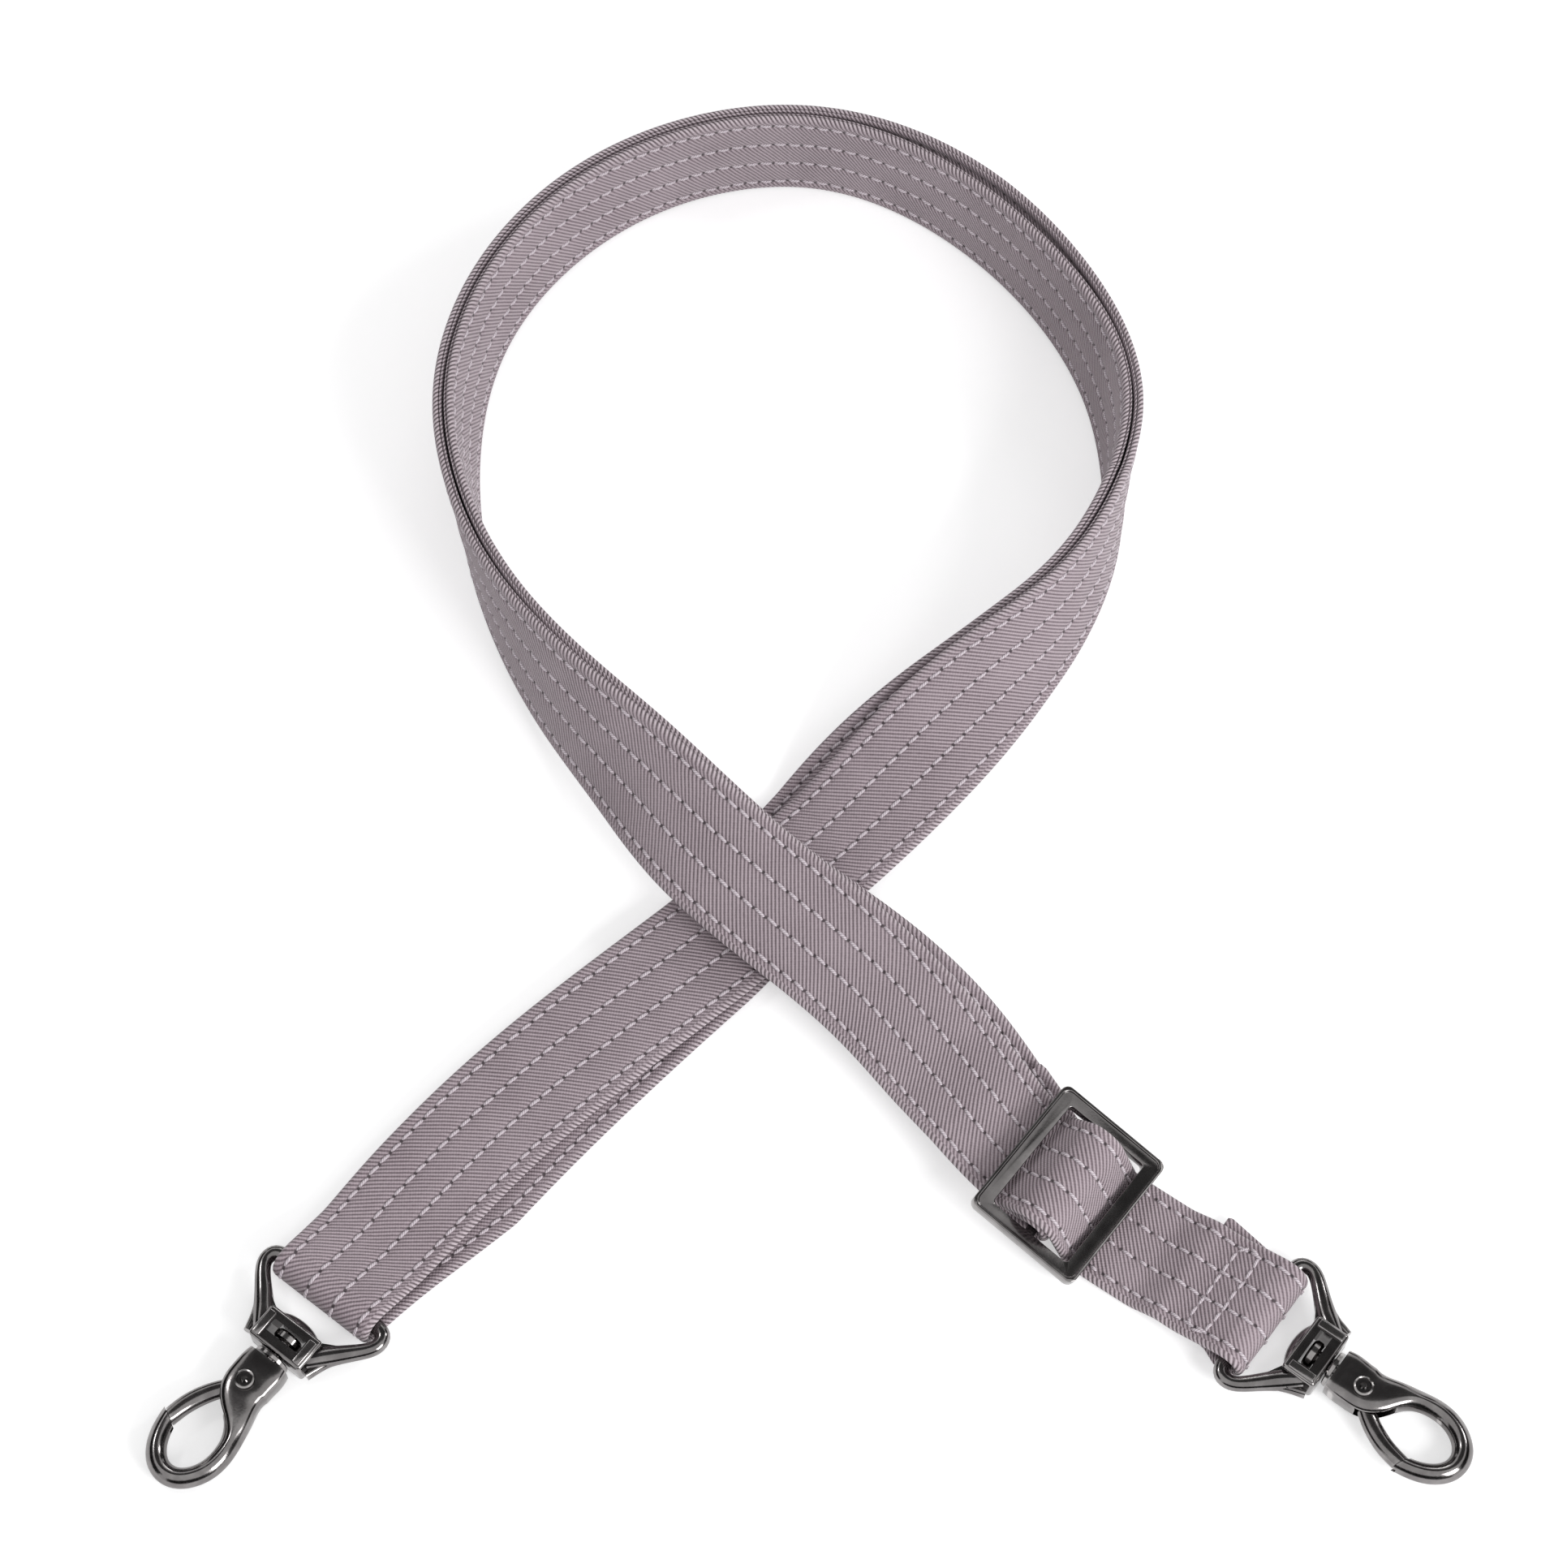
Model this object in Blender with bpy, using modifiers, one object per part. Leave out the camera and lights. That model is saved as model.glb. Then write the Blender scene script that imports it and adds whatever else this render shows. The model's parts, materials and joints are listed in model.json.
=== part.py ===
"""Detachable bag strap: an adjustable folded fabric strap with a slider and two swivel snap hooks.

The strap lies as it is put down on a table: flat at both hooks, crossed over itself, and standing on its
edge round the loop. Lengths are in metres and +Z is up.
"""

import math

import bmesh
import bpy
import numpy as np
from mathutils import Matrix, Vector

# The strap
STRAP_WIDTH = 0.0252
DRAWN_IN_WIDTH = 0.0238
STRAP_THICKNESS = 0.0020
STRAP_EDGE_ROUND = 0.0007
STRAP_STEP = 0.0055
GAP = 0.0003
ROUND_FIT = 0.0004
LAYER_GAP = 0.0004
ROUTE_SPAN = 0.250
HOOK_TAIL_LENGTH = 0.0160
HOOK_TAIL_SLIP = 0.0022
SLIDER_TAIL_LENGTH = 0.0240
SLIDER_PLACE = 0.0442
LAYER_SPREAD = 0.0017
SPREAD_REACH = 0.055
SPREAD_PLACE_SHARE = 0.575
LEFT_SLIP = 0.0050
LEFT_SLIP_PLACE = 0.034
LEFT_SLIP_REACH = 0.090
UNDER_SLIP = 0.0045
UNDER_SLIP_PLACE = 0.145
UNDER_SLIP_REACH = 0.045
OVER_SLIP = 0.0024
OVER_SLIP_PLACE = 0.080
OVER_SLIP_REACH = 0.095
DRAW_IN_REACH = 0.030
LOOSE_REACH = 0.0108
LEAN_RATE = math.radians(0.9) / 0.001
LIFT_RATE = 0.07 / 0.001
STEP_DOWN_LENGTH = 0.0060
BAR_RAMP_LENGTH = 0.0120

# The slider
SLIDER_LENGTH = 0.0250
SLIDER_WIDTH = 0.0312
SLIDER_END_BAR = 0.0034
SLIDER_SIDE_BAR = 0.0029
SLIDER_HEIGHT = 0.0024
SLIDER_CORNER = 0.0016
SLIDER_EDGE_ROUND = 0.0004
CENTRE_BAR_RADIUS = 0.0011
SLIDER_FRONT_SLOPE = math.radians(39)
SLIDER_BACK_SLOPE = math.radians(62)
SLIDER_RUN_LENGTH = 0.0200
WAVE_REACH = 0.0135

# The hooks
BAIL_WIRE_RADIUS = 0.0015
BAIL_HALF_WIDTH = 0.01415
BAIL_LENGTH = 0.0164
CAGE_START = 0.0092
CAGE_HALF_WIDTH = 0.0064
CAGE_HALF_HEIGHT = 0.0032
CAGE_EDGE_ROUND = 0.0007
CAGE_WINDOW_START = 0.0112
CAGE_WINDOW_END = 0.0139
CAGE_WINDOW_HALF_WIDTH = 0.0039
DOME_DEPTH = 0.0014
STUD_HEAD_RADIUS = 0.0030
STUD_SHANK_RADIUS = 0.0015
STUD_FLANGE_RADIUS = 0.0037
STUD_FLANGE_LENGTH = 0.0009
STUD_PLUG_LENGTH = 0.0018
HOOK_LENGTH = 0.0305
HOOK_HALF_WIDTH = 0.0048
HOOK_HALF_HEIGHT = 0.0029
HOOK_DROOP = math.radians(1.6)
PIVOT_PLACE = HOOK_LENGTH * 0.197
PIVOT_SIDE = HOOK_LENGTH * -0.016
GATE_TIP_SHARES = (0.650, -0.2535)
TIP_CUT_LENGTH = HOOK_LENGTH * 0.150
TIP_GAP = 0.0005
RIVET_RADIUS = 0.0008
RIVET_HEAD_RADIUS = 0.0019
RIVET_HEAD_HEIGHT = 0.0006
GATE_HALF_HEIGHT = 0.0015
GATE_HALF_WIDTH = 0.0017
GATE_BARREL_RADIUS = 0.0026
GATE_BARREL_HEIGHT = 0.0015
GATE_ROOT_SHARE = 0.87
GATE_OPENING = math.radians(28)
SPRING_WIRE_RADIUS = 0.00018
SPRING_RADIUS = 0.0017
SPRING_TURNS = 2
SPRING_PITCH = 0.00042

# Counts
RING_POINTS = 12
ROUND_SEGMENTS = 24
ROUTE_SAMPLES = 1600
SPRING_POINTS_PER_TURN = 12

CUT_OVERRUN = 0.0010
CLOSED_MERGE = 0.00001

# The outer face of the strap from the right hook's bar to the left hook's bar: shares of the route's span
# across and along the table, the lean of the width from flat in degrees, and the lift in layers.
ROUTE_SHARES = (
    (0.362, -0.464, 0, 0.0),
    (0.298, -0.417, 0, 0.0),
    (0.2565, -0.388, 0, 0.0),
    (0.219, -0.360, 0, 0.0),
    (0.183, -0.329, 0, 0.0),
    (0.149, -0.289, 4, 0.4),
    (0.069, -0.198, 12, 1.8),
    (-0.011, -0.131, 17, 2.7),
    (-0.072, -0.079, 32, 2.7),
    (-0.127, -0.018, 53, 1.6),
    (-0.189, 0.056, 72, 0.6),
    (-0.237, 0.132, 86, 0.1),
    (-0.272, 0.227, 96, 0.0),
    (-0.281, 0.320, 101, 0.0),
    (-0.261, 0.417, 99, 0.0),
    (-0.199, 0.513, 96, 0.0),
    (-0.086, 0.586, 92, 0.0),
    (0.036, 0.599, 91, 0.0),
    (0.157, 0.547, 93, 0.0),
    (0.247, 0.444, 97, 0.0),
    (0.290, 0.308, 99, 0.0),
    (0.280, 0.226, 88, 0.0),
    (0.229, 0.125, 70, 0.0),
    (0.184, 0.078, 52, 0.0),
    (0.133, 0.031, 27, 0.0),
    (0.050, -0.050, 1, 0.0),
    (-0.066, -0.158, 0, 0.0),
    (-0.2225, -0.2970, 0, 0.0),
    (-0.2945, -0.3790, 0, 0.0),
    (-0.346, -0.4435, 0, 0.0),
)

# Half of the bail's wire from the middle of its bar to inside its cage: shares of the bail's length and
# half width, then half width and half height of the section in wire radii.
BAIL_SHARES = (
    (0.000, 0.000, 1.00, 1.00),
    (0.000, 0.420, 1.00, 1.00),
    (0.000, 0.834, 1.00, 1.00),
    (0.043, 0.961, 1.00, 1.00),
    (0.159, 1.000, 0.97, 1.00),
    (0.293, 0.926, 1.00, 1.00),
    (0.415, 0.799, 1.10, 1.03),
    (0.537, 0.664, 1.25, 1.15),
    (0.671, 0.530, 1.40, 1.45),
    (0.850, 0.396, 1.20, 1.70),
)

# The hook from its neck round to its nose: shares of the hook's length along and across its axis, then the
# section's half width and half height as shares of the neck's, and the squareness of the section.
HOOK_SHARES = (
    (0.000, 0.000, 0.94, 0.97, 4.5),
    (0.060, 0.000, 1.00, 1.00, 4.5),
    (0.150, -0.003, 1.00, 1.00, 4.2),
    (0.240, 0.004, 0.98, 1.00, 3.8),
    (0.320, 0.040, 0.82, 0.97, 3.2),
    (0.400, 0.094, 0.60, 0.91, 2.8),
    (0.500, 0.142, 0.46, 0.83, 2.5),
    (0.620, 0.168, 0.42, 0.78, 2.4),
    (0.740, 0.160, 0.42, 0.76, 2.4),
    (0.850, 0.108, 0.42, 0.76, 2.4),
    (0.922, 0.018, 0.43, 0.76, 2.4),
    (0.925, -0.085, 0.43, 0.76, 2.4),
    (0.862, -0.175, 0.42, 0.76, 2.4),
    (0.765, -0.230, 0.41, 0.75, 2.4),
    (0.668, -0.255, 0.40, 0.72, 2.4),
    (0.585, -0.266, 0.40, 0.72, 2.4),
)

# The gate from its barrel to its tip: shares of the hook's length along and across, then the section's half
# width and half height as shares of the gate's own.
GATE_SHARES = (
    (0.250, -0.068, 1.00, 1.00),
    (0.350, -0.145, 1.05, 1.00),
    (0.450, -0.200, 1.08, 1.05),
    (0.540, -0.233, 1.06, 1.15),
    (0.630, -0.252, 1.02, 1.25),
    (0.690, -0.264, 1.00, 1.25),
)

# The first and last place of the slot in the hook, as shares of the gate's opening.
SLOT_SWINGS = (-0.15, 1.04)

STRAP_COLOUR = (0.36, 0.31, 0.33, 1.0)
METAL_COLOUR = (0.26, 0.25, 0.24, 1.0)

PITCH = STRAP_THICKNESS + LAYER_GAP
WRAP_RADIUS = CENTRE_BAR_RADIUS + ROUND_FIT + STRAP_THICKNESS / 2
FOLD_RADIUS = BAIL_WIRE_RADIUS + ROUND_FIT + STRAP_THICKNESS / 2
BAR_SPACING = SLIDER_LENGTH - SLIDER_END_BAR


def clear_scene():
    for thing in list(bpy.data.objects):
        bpy.data.objects.remove(thing, do_unlink=True)


def collection_named(name):
    found = bpy.data.collections.new(name)
    bpy.context.scene.collection.children.link(found)
    return found


def material(name, colour, metallic, roughness):
    made = bpy.data.materials.new(name)
    made.use_nodes = True
    shader = made.node_tree.nodes["Principled BSDF"]
    shader.inputs["Base Color"].default_value = colour
    shader.inputs["Metallic"].default_value = metallic
    shader.inputs["Roughness"].default_value = roughness
    made.diffuse_color = colour
    return made


def spline(knots, values, places):
    """Natural cubic spline through the values, straight on past both ends."""
    knots = np.asarray(knots, float)
    values = np.asarray(values, float)
    steps = np.diff(knots)
    count = len(knots)
    system = np.eye(count)
    right = np.zeros_like(values)
    slopes = np.diff(values, axis=0) / steps[:, None]
    for i in range(1, count - 1):
        system[i, i - 1] = steps[i - 1]
        system[i, i] = 2 * (steps[i - 1] + steps[i])
        system[i, i + 1] = steps[i]
        right[i] = 6 * (slopes[i] - slopes[i - 1])
    bends = np.linalg.solve(system, right)
    inside = np.clip(places, knots[0], knots[-1])
    left = np.clip(np.searchsorted(knots, inside, side="right") - 1, 0, count - 2)
    gap = steps[left][:, None]
    after = (inside - knots[left])[:, None]
    before = gap - after
    found = (bends[left] * before**3 + bends[left + 1] * after**3) / (6 * gap)
    found += (values[left] / gap - bends[left] * gap / 6) * before
    found += (values[left + 1] / gap - bends[left + 1] * gap / 6) * after
    first = slopes[0] - bends[1] * steps[0] / 6
    last = slopes[-1] + bends[-2] * steps[-1] / 6
    found += np.minimum(places - knots[0], 0)[:, None] * first
    found += np.maximum(places - knots[-1], 0)[:, None] * last
    return found


def chord_knots(points):
    steps = np.linalg.norm(np.diff(points, axis=0), axis=1)
    return np.concatenate([[0.0], np.cumsum(steps)])


def smooth_bump(distance, reach):
    """1 in the middle, 0 at the reach and beyond."""
    inside = np.clip(np.abs(distance) / reach, 0, 1)
    return 0.5 + 0.5 * np.cos(math.pi * inside)


class Route:
    """The line of the strap's lowest layer, with its directions along, across and out of the layers."""

    def __init__(self):
        table = np.array(ROUTE_SHARES, float)
        flat = table[:, :2] * ROUTE_SPAN
        knots = chord_knots(flat)
        places = np.linspace(0, knots[-1], ROUTE_SAMPLES)
        plan = spline(knots, flat, places)
        lean, lift = spline(knots, table[:, 2:], places).T
        self.s = chord_knots(plan)
        self.length = self.s[-1]
        past_slider = np.clip(self.s - SLIDER_PLACE - LOOSE_REACH, 0, None)
        lean = np.minimum(np.radians(np.clip(lean, 0, None)), past_slider * LEAN_RATE)
        lift = np.minimum(lift, past_slider * LIFT_RATE)
        ahead = np.gradient(plan, self.s, axis=0)
        ahead /= np.linalg.norm(ahead, axis=1)[:, None]
        across = np.stack([ahead[:, 1], -ahead[:, 0]], axis=1)
        outer = PITCH + self.spread(self.s) + STRAP_THICKNESS / 2
        plan = plan + across * (np.sin(lean) * outer)[:, None]
        height = np.sin(lean) * self.width(self.s) / 2 + np.abs(np.cos(lean)) * STRAP_THICKNESS / 2
        height += np.maximum(0, -PITCH * np.cos(lean)) + np.clip(lift, 0, None) * PITCH
        self.line = np.column_stack([plan, height])
        self.ahead = np.gradient(self.line, self.s, axis=0)
        self.ahead /= np.linalg.norm(self.ahead, axis=1)[:, None]
        upright = np.array([0.0, 0.0, 1.0])
        self.across = np.cos(lean)[:, None] * np.column_stack([across, np.zeros(len(lean))])
        self.across += np.sin(lean)[:, None] * upright
        lean_on = np.sum(self.across * self.ahead, axis=1)[:, None]
        self.across -= lean_on * self.ahead
        self.across /= np.linalg.norm(self.across, axis=1)[:, None]

    def spread(self, s):
        """How far the two layers stand apart where the loop is loose."""
        return LAYER_SPREAD * smooth_bump(s - SPREAD_PLACE_SHARE * self.length, SPREAD_REACH)

    def width(self, s):
        """The strap draws in where it runs through metal."""
        loose_from = SLIDER_PLACE + WAVE_REACH
        drawn = np.maximum(
            smooth_bump(np.clip(s - loose_from, 0, None), DRAW_IN_REACH),
            smooth_bump(self.length - s, DRAW_IN_REACH),
        )
        return STRAP_WIDTH - (STRAP_WIDTH - DRAWN_IN_WIDTH) * drawn

    def slip(self, s):
        """Sideways shift of the lower layer, in the loop along both arms, and outwards by the left hook."""
        from_end = self.length - s
        left = smooth_bump(from_end - LEFT_SLIP_PLACE, LEFT_SLIP_REACH)
        left *= np.clip(from_end / LEFT_SLIP_PLACE, 0, 1)
        under = smooth_bump(from_end - UNDER_SLIP_PLACE, UNDER_SLIP_REACH)
        over = smooth_bump(s - OVER_SLIP_PLACE, OVER_SLIP_REACH)
        over *= np.clip((s - SLIDER_PLACE - WAVE_REACH) / WAVE_REACH, 0, 1)
        return OVER_SLIP * over + UNDER_SLIP * under - LEFT_SLIP * left

    def at(self, s):
        """Point, ahead, across and outward at a distance along the strap."""
        inside = min(max(s, 0.0), self.length)
        rows = [
            np.array([np.interp(inside, self.s, track[:, k]) for k in range(3)])
            for track in (self.line, self.ahead, self.across)
        ]
        point, ahead, across = rows
        ahead = ahead / np.linalg.norm(ahead)
        across = across / np.linalg.norm(across)
        point = point + ahead * (s - inside)
        return point, ahead, across, np.cross(across, ahead)


def filleted(corners):
    """Points along a line of (place, height, radius) corners, each rounded by its radius."""
    points = [np.array(corners[0][:2], float)]
    for i in range(1, len(corners) - 1):
        corner = np.array(corners[i][:2], float)
        before = points[-1] - corner
        after = np.array(corners[i + 1][:2], float) - corner
        before /= np.linalg.norm(before)
        after /= np.linalg.norm(after)
        turn = math.pi - math.acos(max(-1.0, min(1.0, float(before @ after))))
        radius = corners[i][2]
        reach = radius * math.tan(turn / 2)
        count = max(2, math.ceil(turn / math.radians(22)) + 1)
        middle = before + after
        middle /= np.linalg.norm(middle)
        centre = corner + middle * (radius / math.cos(turn / 2))
        start = corner + before * reach - centre
        side = corner + after * reach - centre
        for k in range(count):
            share = k / (count - 1)
            swing = turn * share
            blend = (math.sin(turn - swing) * start + math.sin(swing) * side) / math.sin(turn)
            points.append(centre + blend)
    points.append(np.array(corners[-1][:2], float))
    return points


def stepped(points, step):
    """The same line, cut at whole steps along the route so that layers share their cuts, with no point twice."""
    made = [points[0]]
    for after in points[1:]:
        before = made[-1]
        if np.linalg.norm(after - before) < CLOSED_MERGE:
            continue
        low, high = sorted((before[0], after[0]))
        cuts = [k * step for k in range(math.ceil(low / step), math.floor(high / step) + 1)]
        cuts = [cut for cut in cuts if low + step / 4 < cut < high - step / 4]
        if before[0] > after[0]:
            cuts.reverse()
        made += [before + (after - before) * (cut - before[0]) / (after[0] - before[0]) for cut in cuts]
        made.append(after)
    return made


def slider_heights():
    """Heights of the end bars' and the centre bar's axes above the lowest layer, and the slider's tilt."""
    seat = STRAP_THICKNESS / 2 + GAP + SLIDER_HEIGHT / 2
    front = 2 * PITCH + seat
    tilt = math.asin((front - seat) / BAR_SPACING)
    dip = math.sin(tilt) * SLIDER_END_BAR / 2
    return front + dip, seat + dip, (front + seat) / 2 + dip, tilt


def slope_foot(radius, bar_height, level, angle):
    """Distance from the centre bar at which a slope that is tangent to a circle round it meets a level."""
    return (radius + (bar_height - level) * math.cos(angle)) / math.sin(angle)


def outer_profile(length):
    """The upper layer: tail under the right hook, fold, slider wave, loop, and up to the left hook's bar."""
    bar = slider_heights()[2]
    over = WRAP_RADIUS + PITCH
    back = SLIDER_PLACE - slope_foot(over, bar, 0, SLIDER_BACK_SLOPE)
    front = SLIDER_PLACE + slope_foot(over, bar, 2 * PITCH, SLIDER_FRONT_SLOPE)
    crest = bar + over
    fold_top = 2 * FOLD_RADIUS
    ramp = BAR_RAMP_LENGTH
    tail_end = SLIDER_PLACE + SLIDER_TAIL_LENGTH
    return (
        (HOOK_TAIL_LENGTH, 0, 0),
        (-FOLD_RADIUS, 0, FOLD_RADIUS),
        (-FOLD_RADIUS, fold_top, FOLD_RADIUS),
        (FOLD_RADIUS / 2, fold_top, FOLD_RADIUS),
        (ramp, PITCH, ramp),
        (HOOK_TAIL_LENGTH + GAP, PITCH, STEP_DOWN_LENGTH),
        (HOOK_TAIL_LENGTH + STEP_DOWN_LENGTH, 0, STEP_DOWN_LENGTH),
        (back, 0, STRAP_THICKNESS),
        (SLIDER_PLACE - over * math.tan(SLIDER_BACK_SLOPE / 2), crest, over),
        (SLIDER_PLACE + over * math.tan(SLIDER_FRONT_SLOPE / 2), crest, over),
        (front, 2 * PITCH, STRAP_THICKNESS),
        (tail_end + GAP, 2 * PITCH, STEP_DOWN_LENGTH),
        (tail_end + STEP_DOWN_LENGTH * 2, PITCH, STEP_DOWN_LENGTH * 2),
        (length - ramp, PITCH, ramp),
        (length - FOLD_RADIUS / 2, fold_top, FOLD_RADIUS),
        (length + FOLD_RADIUS, fold_top, FOLD_RADIUS),
        (length + FOLD_RADIUS, 0, FOLD_RADIUS),
        (length, 0, 0),
    )


def return_profile(length):
    """The lower layer: from the left hook's bar back to the slider, round its centre bar, and its tail."""
    bar = slider_heights()[2]
    top = bar + WRAP_RADIUS
    bottom = bar - WRAP_RADIUS
    foot = slope_foot(WRAP_RADIUS, bar, PITCH, SLIDER_FRONT_SLOPE)
    place = SLIDER_PLACE
    return (
        (length, 0, 0),
        (place + foot, 0, STRAP_THICKNESS * 2),
        (place + WRAP_RADIUS / 2, bottom, STRAP_THICKNESS),
        (place - WRAP_RADIUS, bottom, WRAP_RADIUS),
        (place - WRAP_RADIUS, top, WRAP_RADIUS),
        (place + WRAP_RADIUS * math.tan(SLIDER_FRONT_SLOPE / 2), top, WRAP_RADIUS),
        (place + foot, PITCH, STRAP_THICKNESS),
        (place + SLIDER_TAIL_LENGTH, PITCH, 0),
    )


def ribbon_section(width):
    """Corner points of the strap's section: a flat band with rounded edges, across and outward."""
    across = width / 2
    out = STRAP_THICKNESS / 2
    cut = STRAP_EDGE_ROUND
    return (
        (-across + cut, -out),
        (across - cut, -out),
        (across, -out + cut),
        (across, out - cut),
        (across - cut, out),
        (-across + cut, out),
        (-across, out - cut),
        (-across, -out + cut),
    )


def skin_rings(name, rings, finish, parts, diagonals=None):
    """One closed body through rings of points, capped at both ends, with its faces out."""
    shape = bmesh.new()
    rows = [[shape.verts.new(point) for point in ring] for ring in rings]
    count = len(rows[0])
    for i, (before, after) in enumerate(zip(rows, rows[1:])):
        for k in range(count):
            a, b, c, d = before[k], before[(k + 1) % count], after[(k + 1) % count], after[k]
            if diagonals is None:
                shape.faces.new((a, b, c, d))
            elif diagonals[i][k]:
                shape.faces.new((a, b, c))
                shape.faces.new((a, c, d))
            else:
                shape.faces.new((a, b, d))
                shape.faces.new((b, c, d))
    shape.faces.new(tuple(reversed(rows[0])))
    shape.faces.new(tuple(rows[-1]))
    bmesh.ops.recalc_face_normals(shape, faces=shape.faces[:])
    return finished(name, shape, finish, parts)


def finished(name, shape, finish, parts, smooth_angle=math.radians(40)):
    mesh = bpy.data.meshes.new(name)
    shape.to_mesh(mesh)
    shape.free()
    mesh.shade_smooth()
    mesh.set_sharp_from_angle(angle=smooth_angle)
    made = bpy.data.objects.new(name, mesh)
    if finish is not None:
        mesh.materials.append(finish)
    parts.objects.link(made)
    return made


def strap_stretch(name, route, points, slips, finish, parts):
    """A stretch of the strap through points of (place, height), with the lower layer's slip."""
    points = np.array(points)
    places = chord_knots(points)
    headings = np.gradient(points, places, axis=0)
    rings = []
    for (place, height), heading, slip in zip(points, headings, slips):
        base, ahead, across, outward = route.at(place)
        direction = ahead * heading[0] + outward * heading[1]
        direction /= np.linalg.norm(direction)
        face = np.cross(across, direction)
        middle = base + outward * height + across * slip
        section = ribbon_section(float(route.width(np.array(place))))
        rings.append([Vector(middle + across * a + face * b) for a, b in section])
    rising = [section[k][0] < section[(k + 1) % len(section)][0] for k in range(len(section))]
    onward = [after[0] > before[0] for before, after in zip(points, points[1:])]
    diagonals = [[forward == up for up in rising] for forward in onward]
    return skin_rings(name, rings, finish, parts, diagonals)


def between(points, first, last):
    """The points of a line whose place lies between two places, with exact ends."""
    low, high = min(first, last), max(first, last)
    kept = [p for p in points if low + GAP < p[0] < high - GAP]
    heights = sorted((p[0], p[1]) for p in points)
    xs = [h[0] for h in heights]
    ys = [h[1] for h in heights]
    start = np.array([first, np.interp(first, xs, ys)])
    end = np.array([last, np.interp(last, xs, ys)])
    return [start] + kept + [end]


def strap(route, finish, parts):
    """The one strap, in stretches: what stays put, what goes with the slider, and what is drawn between."""
    upper = stepped(filleted(outer_profile(route.length)), STRAP_STEP)
    lower = stepped(filleted(return_profile(route.length)), STRAP_STEP)
    loose = route.spread(np.array([p[0] for p in upper]))
    upper = [p + np.array([0.0, extra]) for p, extra in zip(upper, loose)]
    fold = next(i for i, p in enumerate(upper) if p[0] < 0)
    turned = next(i for i in range(fold, len(upper)) if upper[i][0] > 0)
    hook_run = HOOK_TAIL_LENGTH + STEP_DOWN_LENGTH * 1.5
    wave_back = SLIDER_PLACE - WAVE_REACH
    wave_front = SLIDER_PLACE + WAVE_REACH
    tail_front = SLIDER_PLACE + SLIDER_TAIL_LENGTH + GAP
    run_front = tail_front + SLIDER_RUN_LENGTH
    half = LAYER_GAP / 2
    top = upper[turned:]
    end_fold = next(i for i, p in enumerate(top) if p[0] > route.length)
    past = top[:end_fold]
    sewn = upper[:turned] + between(past, past[0][0], hook_run - half)[1:]
    wrap_start = next(i for i, p in enumerate(lower) if p[0] < tail_front)
    flat_lower = [np.array([tail_front - half * 2, 0.0])] + lower[wrap_start:]
    loop = between(past, run_front + half, past[-1][0])[:-1] + top[end_fold - 1:]
    back = [p for p in lower[1:wrap_start] if p[0] > run_front + GAP]
    loop = loop + back + [np.array([run_front + half, 0.0])]
    back_count = len(back) + 1
    no_slip = np.zeros
    tail_slips = [
        HOOK_TAIL_SLIP * max(p[0], 0.0) / HOOK_TAIL_LENGTH if i < fold else 0.0 for i, p in enumerate(sewn)
    ]
    loop_slips = np.concatenate([
        no_slip(len(loop) - back_count),
        route.slip(np.array([p[0] for p in loop[-back_count:]])),
    ])
    run = stepped([np.array([run_front - half, 0.0]), np.array([tail_front + half, 0.0])], STRAP_STEP)
    run_slips = route.slip(np.array([p[0] for p in run]))
    wrap_slips = route.slip(np.array([p[0] for p in flat_lower]))
    stretches = {
        "strap_hook_end": (sewn, tail_slips),
        "strap_end_run": (between(past, hook_run + half, wave_back - half), None),
        "strap_wave": (between(past, wave_back + half, wave_front - half), None),
        "strap_upper_run": (between(past, wave_front + half, run_front - half), None),
        "strap_loop": (loop, loop_slips),
        "strap_lower_run": (run, run_slips),
        "strap_slider_wrap": (flat_lower, wrap_slips),
    }
    for name, (points, slips) in stretches.items():
        slips = no_slip(len(points)) if slips is None else slips
        strap_stretch(name, route, points, slips, finish, parts)


def boolean(target, tool, operation, cutters):
    change = target.modifiers.new(tool.name, "BOOLEAN")
    change.operation = operation
    change.object = tool
    change.solver = "EXACT"
    tool.hide_render = True
    tool.display_type = "WIRE"
    for group in list(tool.users_collection):
        group.objects.unlink(tool)
    cutters.objects.link(tool)
    tool.parent = target


def box_shape(size, centre, turn=None):
    shape = bmesh.new()
    bmesh.ops.create_cube(shape, size=1)
    bmesh.ops.scale(shape, vec=size, verts=shape.verts)
    if turn is not None:
        bmesh.ops.rotate(shape, matrix=turn, verts=shape.verts)
    bmesh.ops.translate(shape, vec=centre, verts=shape.verts)
    return shape


def rounded_plate(size, centre, corner):
    """A plate with round upright corners."""
    shape = box_shape(size, centre)
    upright = [e for e in shape.edges if abs(e.verts[0].co.z - e.verts[1].co.z) > size[2] / 2]
    bmesh.ops.bevel(shape, geom=upright, offset=corner, segments=4, affect="EDGES", profile=0.5)
    return shape


def rod_shape(radius, start, end, segments=ROUND_SEGMENTS):
    """A cylinder from one point to another."""
    shape = bmesh.new()
    start, end = Vector(start), Vector(end)
    line = end - start
    bmesh.ops.create_cone(
        shape, cap_ends=True, segments=segments, radius1=radius, radius2=radius, depth=line.length
    )
    turn = line.to_track_quat("Z", "Y").to_matrix()
    bmesh.ops.rotate(shape, matrix=turn, verts=shape.verts)
    bmesh.ops.translate(shape, vec=(start + end) / 2, verts=shape.verts)
    return shape


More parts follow.
